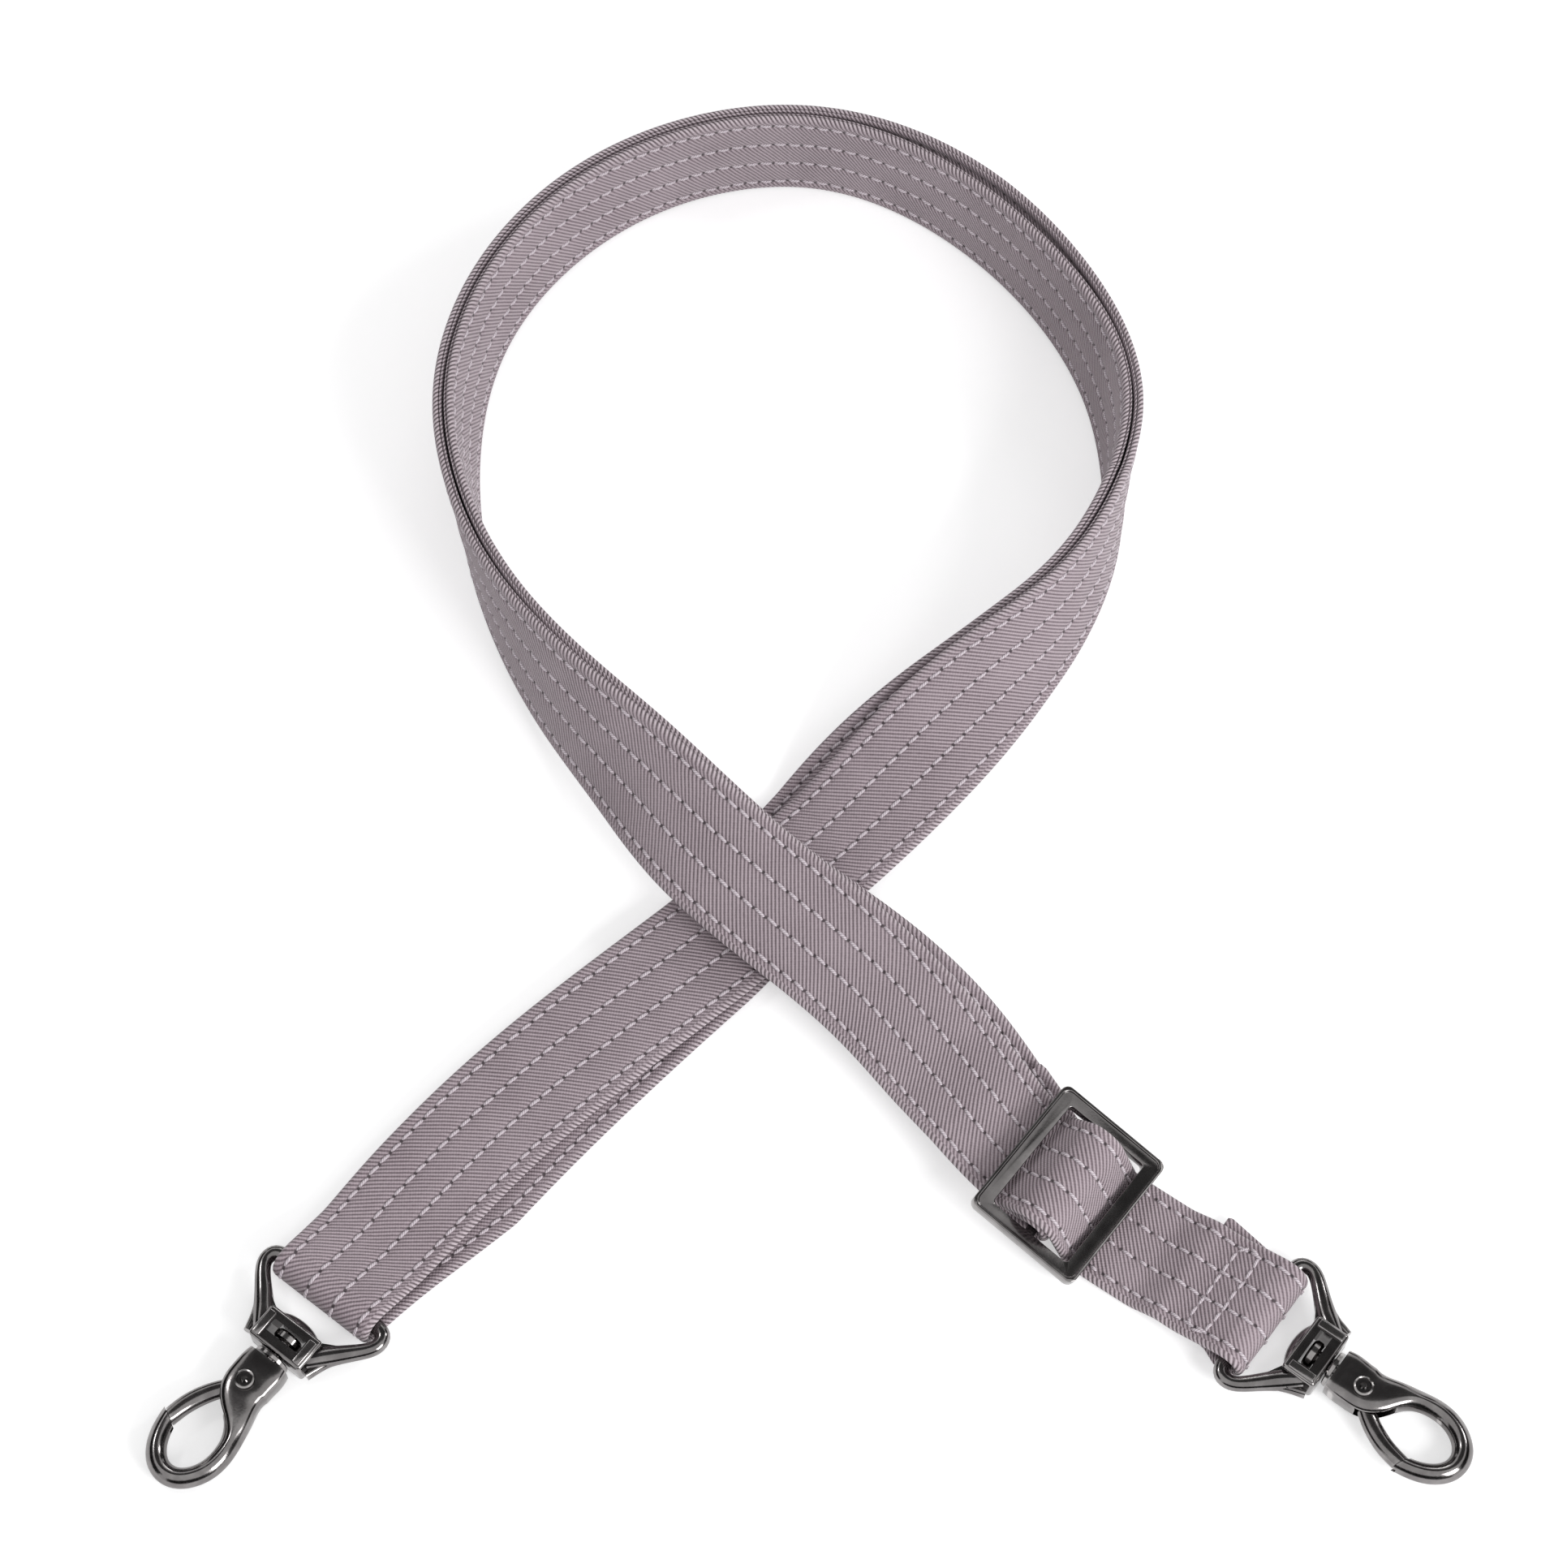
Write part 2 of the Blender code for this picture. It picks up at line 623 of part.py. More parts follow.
def fan_shape(centre, angles, reach, half_width, half_height):
    """The plate that a straight bar sweeps as it turns about a centre from one angle to another."""
    shape = bmesh.new()
    first, middle, last = [
        Matrix.Rotation(angle, 3, "Z") for angle in (angles[0], (angles[0] + angles[1]) / 2, angles[1])
    ]
    outline = (
        first @ Vector((0, -half_width, 0)),
        first @ Vector((reach, -half_width, 0)),
        middle @ Vector((reach + half_width / 2, 0, 0)),
        last @ Vector((reach, half_width, 0)),
        last @ Vector((0, half_width, 0)),
    )
    rise = Vector((0, 0, half_height))
    low = [shape.verts.new(centre + point - rise) for point in outline]
    high = [shape.verts.new(centre + point + rise) for point in outline]
    shape.faces.new(tuple(reversed(low)))
    shape.faces.new(tuple(high))
    for k in range(len(low)):
        after = (k + 1) % len(low)
        shape.faces.new((low[k], low[after], high[after], high[k]))
    return shape


def bevelled(target, width, segments=2):
    bevel = target.modifiers.new("edge_round", "BEVEL")
    bevel.width = width
    bevel.segments = segments
    bevel.limit_method = "ANGLE"
    bevel.angle_limit = math.radians(50)


def turned(name, profile, finish, parts):
    """A turned piece about its own X axis, from (place along, radius) pairs that start and end on the axis."""
    mesh = bpy.data.meshes.new(name)
    points = [(radius, 0.0, -place) for place, radius in profile]
    edges = [(i, i + 1) for i in range(len(points) - 1)]
    mesh.from_pydata(points, edges, [])
    mesh.materials.append(finish)
    made = bpy.data.objects.new(name, mesh)
    parts.objects.link(made)
    screw = made.modifiers.new("turn", "SCREW")
    screw.steps = ROUND_SEGMENTS
    screw.render_steps = ROUND_SEGMENTS
    screw.use_merge_vertices = True
    screw.merge_threshold = CLOSED_MERGE
    screw.use_smooth_shade = True
    made.rotation_euler = (0, -math.pi / 2, 0)
    return made


def squared(angle, power):
    """Cosine and sine of an angle, pushed out towards a square."""
    c, s = math.cos(angle), math.sin(angle)
    return (
        math.copysign(abs(c) ** (2 / power), c),
        math.copysign(abs(s) ** (2 / power), s),
    )


def loft(name, stations, rings, finish, parts):
    """A bar through (along, across, half width, half height, squareness) stations in a flat plane."""
    table = np.array(stations, float)
    knots = chord_knots(table[:, :2])
    places = np.linspace(0, knots[-1], rings)
    smooth = spline(knots, table, places)
    ahead = np.gradient(smooth[:, :2], places, axis=0)
    made = []
    for row, way in zip(smooth, ahead):
        way = way / np.linalg.norm(way)
        side = Vector((-way[1], way[0], 0))
        middle = Vector((row[0], row[1], 0))
        ring = []
        for k in range(RING_POINTS):
            c, s = squared(2 * math.pi * (k + 0.5) / RING_POINTS, row[4])
            ring.append(middle + side * (c * row[2]) + Vector((0, 0, s * row[3])))
        made.append(ring)
    diagonals = [[True] * RING_POINTS] * (rings - 1)
    return skin_rings(name, made, finish, parts, diagonals)


def slider(route, finish, parts, cutters):
    """A flat rectangular frame with a round centre bar, tilted over the layers that run under its bars."""
    bar, tilt = slider_heights()[2:]
    plate = rounded_plate((SLIDER_LENGTH, SLIDER_WIDTH, SLIDER_HEIGHT), (0, 0, 0), SLIDER_CORNER)
    frame = finished("slider_frame", plate, finish, parts)
    inner = (
        SLIDER_LENGTH - 2 * SLIDER_END_BAR,
        SLIDER_WIDTH - 2 * SLIDER_SIDE_BAR,
        SLIDER_HEIGHT + 2 * CUT_OVERRUN,
    )
    window = finished("slider_window_cut", rounded_plate(inner, (0, 0, 0), SLIDER_CORNER / 2), None, parts)
    boolean(frame, window, "DIFFERENCE", cutters)
    bevelled(frame, SLIDER_EDGE_ROUND)
    reach = SLIDER_WIDTH / 2 - SLIDER_SIDE_BAR / 2
    rod = finished(
        "slider_centre_bar_form",
        rod_shape(CENTRE_BAR_RADIUS, (0, -reach, 0), (0, reach, 0)),
        None,
        parts,
    )
    boolean(frame, rod, "UNION", cutters)
    point, ahead, across, outward = route.at(SLIDER_PLACE)
    turn = Matrix((ahead, -across, outward)).transposed().to_4x4()
    lift = Matrix.Translation(Vector(point + outward * bar))
    frame.matrix_world = lift @ turn @ Matrix.Rotation(-tilt, 4, "Y")
    return frame


def bail(side, seat, finish, parts, cutters):
    """The strap's bar and rails with the swivel cage: a window for the stud's head and a hole for its shank."""
    half = [
        (BAIL_LENGTH * a, BAIL_HALF_WIDTH * b, BAIL_WIRE_RADIUS * w, BAIL_WIRE_RADIUS * h, 2)
        for a, b, w, h in BAIL_SHARES
    ]
    other = [(a, -b, w, h, n) for a, b, w, h, n in reversed(half[1:])]
    made = loft(f"{side}_bail", other + half, 40, finish, parts)
    made.parent = seat
    cage_length = BAIL_LENGTH - CAGE_START
    cage = finished(
        f"{side}_cage_form",
        box_shape(
            (cage_length, 2 * CAGE_HALF_WIDTH, 2 * CAGE_HALF_HEIGHT),
            (CAGE_START + cage_length / 2, 0, 0),
        ),
        None,
        parts,
    )
    bevelled(cage, CAGE_EDGE_ROUND)
    boolean(made, cage, "UNION", cutters)
    dome = bmesh.new()
    bmesh.ops.create_uvsphere(dome, u_segments=16, v_segments=8, radius=1)
    reach = CAGE_HALF_WIDTH - CAGE_EDGE_ROUND
    rise = CAGE_HALF_HEIGHT - CAGE_EDGE_ROUND / 2
    bmesh.ops.scale(dome, vec=(DOME_DEPTH * 2, reach, rise), verts=dome.verts)
    bmesh.ops.translate(dome, vec=(CAGE_START + DOME_DEPTH, 0, 0), verts=dome.verts)
    dome_form = finished(f"{side}_dome_form", dome, None, parts)
    boolean(made, dome_form, "UNION", cutters)
    window_length = CAGE_WINDOW_END - CAGE_WINDOW_START
    window = finished(
        f"{side}_window_cut",
        box_shape(
            (window_length, 2 * CAGE_WINDOW_HALF_WIDTH, 2 * (CAGE_HALF_HEIGHT + CUT_OVERRUN)),
            (CAGE_WINDOW_START + window_length / 2, 0, 0),
        ),
        None,
        parts,
    )
    boolean(made, window, "DIFFERENCE", cutters)
    hole = finished(
        f"{side}_shank_cut",
        rod_shape(
            STUD_SHANK_RADIUS + ROUND_FIT,
            (CAGE_WINDOW_END - CUT_OVERRUN, 0, 0),
            (BAIL_LENGTH + CUT_OVERRUN, 0, 0),
        ),
        None,
        parts,
    )
    boolean(made, hole, "DIFFERENCE", cutters)
    return made


def stud(side, hook, finish, parts):
    """The swivel stud: head in the cage's window, shank through the cage, flange, and plug into the hook."""
    start = BAIL_LENGTH + STUD_FLANGE_LENGTH + 2 * GAP
    head_start = CAGE_WINDOW_START + GAP
    head_end = CAGE_WINDOW_END - GAP
    flange_start = BAIL_LENGTH + GAP
    flange_end = flange_start + STUD_FLANGE_LENGTH
    round_off = STUD_HEAD_RADIUS / 6
    profile = (
        (head_start, 0.0),
        (head_start, STUD_HEAD_RADIUS - round_off),
        (head_start + round_off, STUD_HEAD_RADIUS),
        (head_end - round_off, STUD_HEAD_RADIUS),
        (head_end, STUD_HEAD_RADIUS - round_off),
        (head_end, STUD_SHANK_RADIUS),
        (flange_start, STUD_SHANK_RADIUS),
        (flange_start, STUD_FLANGE_RADIUS - round_off / 2),
        (flange_start + round_off / 2, STUD_FLANGE_RADIUS),
        (flange_end, STUD_FLANGE_RADIUS),
        (flange_end, STUD_SHANK_RADIUS),
        (flange_end + STUD_PLUG_LENGTH, STUD_SHANK_RADIUS),
        (flange_end + STUD_PLUG_LENGTH, 0.0),
    )
    local = tuple((place - start, radius) for place, radius in profile)
    made = turned(f"{side}_stud", local, finish, parts)
    made.parent = hook
    return made


def tip_cut(name, target, pivot, way, parts, cutters):
    """Trims the nose or the gate's tip square to the radius from the pivot, so that the gate clears the nose."""
    tip = Vector((HOOK_LENGTH * GATE_TIP_SHARES[0], HOOK_LENGTH * GATE_TIP_SHARES[1], 0))
    arm = tip - Vector((PIVOT_PLACE, PIVOT_SIDE, 0))
    turn = Matrix.Rotation(math.atan2(arm.y, arm.x), 3, "Z")
    middle = arm.length + way * (TIP_CUT_LENGTH - TIP_GAP) / 2
    block = finished(
        name,
        box_shape(
            (TIP_CUT_LENGTH, 4 * GATE_HALF_WIDTH, 4 * HOOK_HALF_HEIGHT),
            pivot + turn @ Vector((middle, 0, 0)),
            turn,
        ),
        None,
        parts,
    )
    boolean(target, block, "DIFFERENCE", cutters)


def hook_body(side, bail_piece, finish, parts, cutters):
    """The cast hook, from its neck round the eye to its nose, with the slot that the gate turns in."""
    stations = [
        (HOOK_LENGTH * a, HOOK_LENGTH * b, HOOK_HALF_WIDTH * w, HOOK_HALF_HEIGHT * h, n)
        for a, b, w, h, n in HOOK_SHARES
    ]
    made = loft(f"{side}_hook", stations, 42, finish, parts)
    made.parent = bail_piece
    made.location = (BAIL_LENGTH + STUD_FLANGE_LENGTH + 2 * GAP, 0, 0)
    socket = finished(
        f"{side}_socket_cut",
        rod_shape(STUD_SHANK_RADIUS + ROUND_FIT, (-CUT_OVERRUN, 0, 0), (STUD_PLUG_LENGTH + GAP, 0, 0)),
        None,
        parts,
    )
    boolean(made, socket, "DIFFERENCE", cutters)
    pivot = Vector((PIVOT_PLACE, PIVOT_SIDE, 0))
    slot_half = GATE_HALF_HEIGHT + GAP
    half_slot = Vector((0, 0, slot_half))
    well = finished(
        f"{side}_well_cut",
        rod_shape(GATE_BARREL_RADIUS + 2 * GAP, pivot - half_slot, pivot + half_slot),
        None,
        parts,
    )
    boolean(made, well, "DIFFERENCE", cutters)
    arm = Vector((GATE_SHARES[1][0] * HOOK_LENGTH, GATE_SHARES[1][1] * HOOK_LENGTH, 0)) - pivot
    closed_angle = math.atan2(arm.y, arm.x)
    slot = finished(
        f"{side}_slot_cut",
        fan_shape(
            pivot,
            [closed_angle + swing * GATE_OPENING for swing in SLOT_SWINGS],
            2 * HOOK_HALF_WIDTH,
            GATE_HALF_WIDTH + 2 * GAP,
            slot_half,
        ),
        None,
        parts,
    )
    boolean(made, slot, "DIFFERENCE", cutters)
    tip_cut(f"{side}_nose_cut", made, pivot, -1, parts, cutters)
    bottom = -HOOK_HALF_HEIGHT - CUT_OVERRUN
    top = HOOK_HALF_HEIGHT + CUT_OVERRUN
    hole = finished(
        f"{side}_rivet_cut",
        rod_shape(RIVET_RADIUS + ROUND_FIT, pivot + Vector((0, 0, bottom)), pivot + Vector((0, 0, top)), 20),
        None,
        parts,
    )
    boolean(made, hole, "DIFFERENCE", cutters)
    return made


def rivet(side, hook, finish, parts):
    """The gate's rivet: a ringed head on the face, and a shank that ends flush with the back."""
    under = HOOK_HALF_HEIGHT + GAP
    top = under + RIVET_HEAD_HEIGHT
    groove = RIVET_HEAD_HEIGHT / 2
    profile = (
        (-top, 0.0),
        (-top, RIVET_RADIUS * 0.6),
        (-top + groove, RIVET_RADIUS),
        (-top + groove, RIVET_HEAD_RADIUS * 0.7),
        (-top, RIVET_HEAD_RADIUS * 0.82),
        (-top + groove / 2, RIVET_HEAD_RADIUS),
        (-under, RIVET_HEAD_RADIUS),
        (-under, RIVET_RADIUS),
        (HOOK_HALF_HEIGHT, RIVET_RADIUS),
        (HOOK_HALF_HEIGHT, 0.0),
    )
    made = turned(f"{side}_rivet", profile, finish, parts)
    made.parent = hook
    made.location = (PIVOT_PLACE, PIVOT_SIDE, 0)
    made.rotation_euler = (0, 0, 0)
    return made


def gate(side, hook, finish, parts, cutters):
    """The gate: a half-height barrel on the rivet, and an arm to the hook's nose."""
    stations = [
        (
            HOOK_LENGTH * a - PIVOT_PLACE,
            HOOK_LENGTH * b - PIVOT_SIDE,
            GATE_HALF_WIDTH * w,
            GATE_HALF_HEIGHT * h,
            3.0,
        )
        for a, b, w, h in GATE_SHARES
    ]
    root = Vector(stations[0][:2]).normalized() * GATE_BARREL_RADIUS * GATE_ROOT_SHARE
    stations[0] = (root.x, root.y, *stations[0][2:])
    made = loft(f"{side}_gate", stations, 12, finish, parts)
    made.parent = hook
    made.location = (PIVOT_PLACE, PIVOT_SIDE, 0)
    low = -GATE_HALF_HEIGHT
    barrel = finished(
        f"{side}_barrel_form",
        rod_shape(GATE_BARREL_RADIUS, (0, 0, low), (0, 0, low + GATE_BARREL_HEIGHT)),
        None,
        parts,
    )
    boolean(made, barrel, "UNION", cutters)
    bottom = low - CUT_OVERRUN
    top = low + GATE_BARREL_HEIGHT + CUT_OVERRUN
    hole = finished(
        f"{side}_barrel_cut",
        rod_shape(RIVET_RADIUS + ROUND_FIT, (0, 0, bottom), (0, 0, top), 20),
        None,
        parts,
    )
    boolean(made, hole, "DIFFERENCE", cutters)
    tip_cut(f"{side}_tip_cut", made, Vector((0, 0, 0)), 1, parts, cutters)
    return made


def gate_spring(side, hook, finish, parts):
    """The closing spring: a small coil round the rivet above the gate's barrel."""
    low = -GATE_HALF_HEIGHT + GATE_BARREL_HEIGHT + GAP + SPRING_WIRE_RADIUS
    count = int(SPRING_TURNS * SPRING_POINTS_PER_TURN) + 1
    curve = bpy.data.curves.new(f"{side}_gate_spring", "CURVE")
    curve.dimensions = "3D"
    curve.bevel_depth = SPRING_WIRE_RADIUS
    curve.bevel_resolution = 1
    curve.use_fill_caps = True
    line = curve.splines.new("POLY")
    line.points.add(count - 1)
    for k in range(count):
        angle = 2 * math.pi * k / SPRING_POINTS_PER_TURN
        rise = low + SPRING_PITCH * k / SPRING_POINTS_PER_TURN
        line.points[k].co = (SPRING_RADIUS * math.cos(angle), SPRING_RADIUS * math.sin(angle), rise, 1)
    curve.materials.append(finish)
    made = bpy.data.objects.new(f"{side}_gate_spring", curve)
    parts.objects.link(made)
    made.parent = hook
    made.location = (PIVOT_PLACE, PIVOT_SIDE, 0)
    return made


def swivel_hook(side, route, place, way, finish, parts, cutters):
    """A whole swivel snap hook, seated in the strap's fold at a place, pointing out of the strap's end."""
    point, ahead, across, outward = route.at(place)
    out = Vector(ahead) * way
    up = Vector(outward)
    left = up.cross(out)
    seat = bpy.data.objects.new(f"{side}_hook_seat", None)
    parts.objects.link(seat)
    turn = Matrix((out, left, up)).transposed().to_4x4()
    lift = Matrix.Translation(Vector(point) + up * FOLD_RADIUS)
    seat.matrix_world = lift @ turn @ Matrix.Rotation(HOOK_DROOP, 4, "Y")
    bail_piece = bail(side, seat, finish, parts, cutters)
    hook = hook_body(side, bail_piece, finish, parts, cutters)
    stud(side, hook, finish, parts)
    rivet(side, hook, finish, parts)
    gate(side, hook, finish, parts, cutters)
    gate_spring(side, hook, finish, parts)
    return seat


def centre_on_floor(parts):
    """Moves the whole model so that its box stands centred on the origin."""
    bpy.context.view_layer.update()
    graph = bpy.context.evaluated_depsgraph_get()
    points = []
    for thing in parts.objects:
        if thing.type == "MESH":
            shown = thing.evaluated_get(graph)
            points += [thing.matrix_world @ vertex.co for vertex in shown.data.vertices]
    low = np.min(points, axis=0)
    high = np.max(points, axis=0)
    shift = Vector((-(low[0] + high[0]) / 2, -(low[1] + high[1]) / 2, -low[2]))
    for thing in parts.objects:
        if thing.parent is None:
            thing.matrix_world = Matrix.Translation(shift) @ thing.matrix_world
    bpy.context.view_layer.update()


def main():
    clear_scene()
    parts = collection_named("detachable_bag_strap")
    cutters = collection_named("cutters")
    fabric = material("strap_fabric", STRAP_COLOUR, 0.0, 0.85)
    metal = material("dark_nickel", METAL_COLOUR, 1.0, 0.2)
    route = Route()
    strap(route, fabric, parts)
    slider(route, metal, parts, cutters)
    swivel_hook("right", route, 0.0, -1, metal, parts, cutters)
    swivel_hook("left", route, route.length, 1, metal, parts, cutters)
    centre_on_floor(parts)


main()
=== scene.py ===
"""Looks of the detachable bag strap: stitched webbing in two layers, a slider and two swivel snap hooks.

Lengths are in metres in the model's frame, and +Z is up.
"""

import json
import math

import bmesh
import bpy
import numpy as np
from mathutils import Matrix, Vector

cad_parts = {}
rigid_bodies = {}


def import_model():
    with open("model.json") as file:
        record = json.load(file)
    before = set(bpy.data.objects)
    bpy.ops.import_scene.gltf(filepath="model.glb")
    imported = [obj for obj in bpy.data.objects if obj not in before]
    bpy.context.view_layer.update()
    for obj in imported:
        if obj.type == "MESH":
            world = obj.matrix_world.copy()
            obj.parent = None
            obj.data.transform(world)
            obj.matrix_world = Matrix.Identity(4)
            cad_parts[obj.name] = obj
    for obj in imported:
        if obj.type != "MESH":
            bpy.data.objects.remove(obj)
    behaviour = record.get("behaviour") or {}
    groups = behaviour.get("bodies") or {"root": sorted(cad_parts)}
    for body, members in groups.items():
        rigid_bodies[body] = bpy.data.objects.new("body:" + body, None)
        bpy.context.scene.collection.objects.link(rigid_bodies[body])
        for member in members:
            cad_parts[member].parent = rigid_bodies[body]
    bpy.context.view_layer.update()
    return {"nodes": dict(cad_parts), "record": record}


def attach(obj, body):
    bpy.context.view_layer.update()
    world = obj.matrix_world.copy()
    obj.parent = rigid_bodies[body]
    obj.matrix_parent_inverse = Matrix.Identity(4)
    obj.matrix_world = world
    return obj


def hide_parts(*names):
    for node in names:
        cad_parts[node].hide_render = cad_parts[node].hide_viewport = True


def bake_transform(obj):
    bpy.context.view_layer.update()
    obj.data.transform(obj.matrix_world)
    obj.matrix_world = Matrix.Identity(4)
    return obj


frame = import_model()

# The strap
STRAP_WIDTH = 0.0252
STRAP_HALF_WIDTH = STRAP_WIDTH / 2
DRAWN_IN_WIDTH = 0.0238
STRAP_THICKNESS = 0.0020
GAP = 0.0003
ROUND_FIT = 0.0004
LAYER_GAP = 0.0004
ROUTE_SPAN = 0.250
HOOK_TAIL_LENGTH = 0.0160
SLIDER_TAIL_LENGTH = 0.0240
SLIDER_PLACE = 0.0442
LAYER_SPREAD = 0.0017
SLIP_START = -0.001
SLIP_RISE = 0.019
SPREAD_REACH = 0.055
SPREAD_PLACE_SHARE = 0.575
LEFT_SLIP = 0.0050
LEFT_SLIP_PLACE = 0.034
LEFT_SLIP_REACH = 0.090
UNDER_SLIP = 0.0045
UNDER_SLIP_PLACE = 0.145
UNDER_SLIP_REACH = 0.045
OVER_SLIP = 0.0034
OVER_SLIP_PLACE = 0.070
OVER_SLIP_REACH = 0.070
DRAW_IN_REACH = 0.030
LOOSE_REACH = 0.0108
LEAN_RATE = math.radians(0.9) / 0.001
LIFT_RATE = 0.07 / 0.001
STEP_DOWN_LENGTH = 0.0060
BAR_RAMP_LENGTH = 0.0120

# The slider
SLIDER_LENGTH = 0.0250
SLIDER_WIDTH = 0.0312
SLIDER_END_BAR = 0.0034
SLIDER_SIDE_BAR = 0.0029
SLIDER_HEIGHT = 0.0024
SLIDER_CORNER = 0.0016
CENTRE_BAR_RADIUS = 0.0011
RIM_HEIGHT = 0.00035
RIM_WIDTH = 0.0007
RIM_ROUND = 0.00018
SLIDER_FRONT_SLOPE = math.radians(39)
SLIDER_BACK_SLOPE = math.radians(62)
SLIDER_RUN_LENGTH = 0.0200
WAVE_REACH = 0.0135

# The hooks
BAIL_WIRE_RADIUS = 0.0015
BAIL_HALF_WIDTH = 0.01415
BAIL_LENGTH = 0.0164
CAGE_START = 0.0092
CAGE_HALF_WIDTH = 0.0064
CAGE_HALF_HEIGHT = 0.0032
CAGE_EDGE_ROUND = 0.0007
CAGE_WINDOW_START = 0.0112
CAGE_WINDOW_END = 0.0139
CAGE_WINDOW_HALF_WIDTH = 0.0039
DOME_DEPTH = 0.0014
FIN_HALF_HEIGHT = 0.0009
FIN_WIRE_RADIUS = 0.00085
LUG_SIZE = (0.0056, 0.0017, 0.0020)
LUG_PLACE = 0.0130
LUG_SIDE = 0.0050
LUG_RISE = 0.0005
STUD_HEAD_RADIUS = 0.0030
STUD_EDGE_ROUND = STUD_HEAD_RADIUS / 6
STUD_SHANK_RADIUS = 0.0015
STUD_FLANGE_RADIUS = 0.0037
STUD_FLANGE_LENGTH = 0.0009
STUD_PLUG_LENGTH = 0.0018
HOOK_LENGTH = 0.0305
HOOK_HALF_WIDTH = 0.0048
HOOK_HALF_HEIGHT = 0.0029
HOOK_DROOP = math.radians(1.6)
PIVOT_PLACE = HOOK_LENGTH * 0.197
PIVOT_SIDE = HOOK_LENGTH * -0.016
GATE_TIP_SHARES = (0.650, -0.2535)
TIP_CUT_LENGTH = HOOK_LENGTH * 0.150
TIP_GAP = 0.00016
TONGUE_REACH = 0.0007
TONGUE_HALF_WIDTH = 0.0014
TONGUE_HALF_HEIGHT = 0.0005
RIVET_RADIUS = 0.0008
RIVET_HEAD_RADIUS = 0.0019
RIVET_HEAD_HEIGHT = 0.0006
RIVET_END_SHARE = 0.6
RIVET_RING_SHARES = (0.70, 0.82)
GATE_HALF_HEIGHT = 0.0015
GATE_HALF_WIDTH = 0.0017
GATE_BARREL_RADIUS = 0.0026
GATE_BARREL_HEIGHT = 0.0015
GATE_ROOT_SHARE = 0.87
GATE_OPENING = math.radians(28)
SPRING_WIRE_RADIUS = 0.00018
SPRING_RADIUS = 0.0017
SPRING_TURNS = 2
SPRING_PITCH = 0.00042

# Counts
RING_POINTS = 32
ROUND_SEGMENTS = 56
HOLE_SEGMENTS = 20
ROUTE_SAMPLES = 1600
BAIL_RINGS = 110
FIN_RINGS = 24
HOOK_RINGS = 120
GATE_RINGS = 30
SPRING_POINTS_PER_TURN = 28
FILLET_STEP = math.radians(6)
CORNER_SEGMENTS = 10
EDGE_SEGMENTS = 3
CAGE_EDGE_SEGMENTS = 4
DOME_SEGMENTS = 48
BEVEL_ANGLE = math.radians(50)
SHARP_ANGLE = math.radians(32)

CUT_OVERRUN = 0.0010
CLOSED_MERGE = 0.00001

# The outer face of the strap from the right hook's bar to the left hook's bar: shares of the route's span
# across and along the table, the lean of the width from flat in degrees, and the lift in layers.
ROUTE_SHARES = (
    (0.362, -0.464, 0, 0.0),
    (0.298, -0.417, 0, 0.0),
    (0.2565, -0.388, 0, 0.0),
    (0.219, -0.360, 0, 0.0),
    (0.183, -0.329, 0, 0.0),
    (0.149, -0.289, 4, 0.4),
    (0.069, -0.198, 12, 1.8),
    (-0.011, -0.131, 17, 2.7),
    (-0.072, -0.079, 32, 2.7),
    (-0.127, -0.018, 53, 1.6),
    (-0.189, 0.056, 72, 0.6),
    (-0.237, 0.132, 86, 0.1),
    (-0.272, 0.227, 96, 0.0),
    (-0.281, 0.320, 101, 0.0),
    (-0.261, 0.417, 99, 0.0),
    (-0.199, 0.513, 96, 0.0),
    (-0.086, 0.586, 92, 0.0),
    (0.036, 0.599, 91, 0.0),
    (0.157, 0.547, 93, 0.0),
    (0.247, 0.444, 97, 0.0),
    (0.290, 0.308, 99, 0.0),
    (0.280, 0.226, 88, 0.0),
    (0.229, 0.125, 70, 0.0),
    (0.184, 0.078, 52, 0.0),
    (0.133, 0.031, 27, 0.0),
    (0.050, -0.050, 1, 0.0),
    (-0.066, -0.158, 0, 0.0),
    (-0.2225, -0.2970, 0, 0.0),
    (-0.2945, -0.3790, 0, 0.0),
    (-0.346, -0.4435, 0, 0.0),
)

# Half of the bail's wire from the middle of its bar to inside its cage: shares of the bail's length and
# half width, then half width and half height of the section in wire radii, and the section's squareness.
BAIL_SHARES = (
    (0.000, 0.000, 1.00, 1.00, 2),
    (0.000, 0.420, 1.00, 1.00, 2),
    (0.000, 0.834, 1.00, 1.00, 2),
    (0.043, 0.961, 1.00, 1.00, 2),
    (0.159, 1.000, 0.97, 1.00, 2),
    (0.293, 0.926, 1.00, 1.00, 2),
    (0.415, 0.799, 1.10, 1.03, 2),
    (0.537, 0.664, 1.25, 1.15, 2),
    (0.671, 0.530, 1.40, 1.45, 2),
    (0.850, 0.396, 1.20, 1.70, 2),
)

# The cast fin between a rail and the cage, as shares of the bail's length and half width, and the wire along
# its outer side, by stations like the bail's.
FIN_SHARES = ((0.330, 0.880), (0.480, 0.760), (0.700, 0.620), (0.950, 0.500), (0.950, 0.300), (0.600, 0.300))
FIN_RIM_SHARES = (
    (0.200, 0.960, 1, 1.0, 2),
    (0.340, 0.880, 1, 1.0, 2),
    (0.520, 0.745, 1, 1.1, 2),
    (0.730, 0.610, 1, 1.3, 2),
    (0.960, 0.520, 1, 1.6, 2),
)

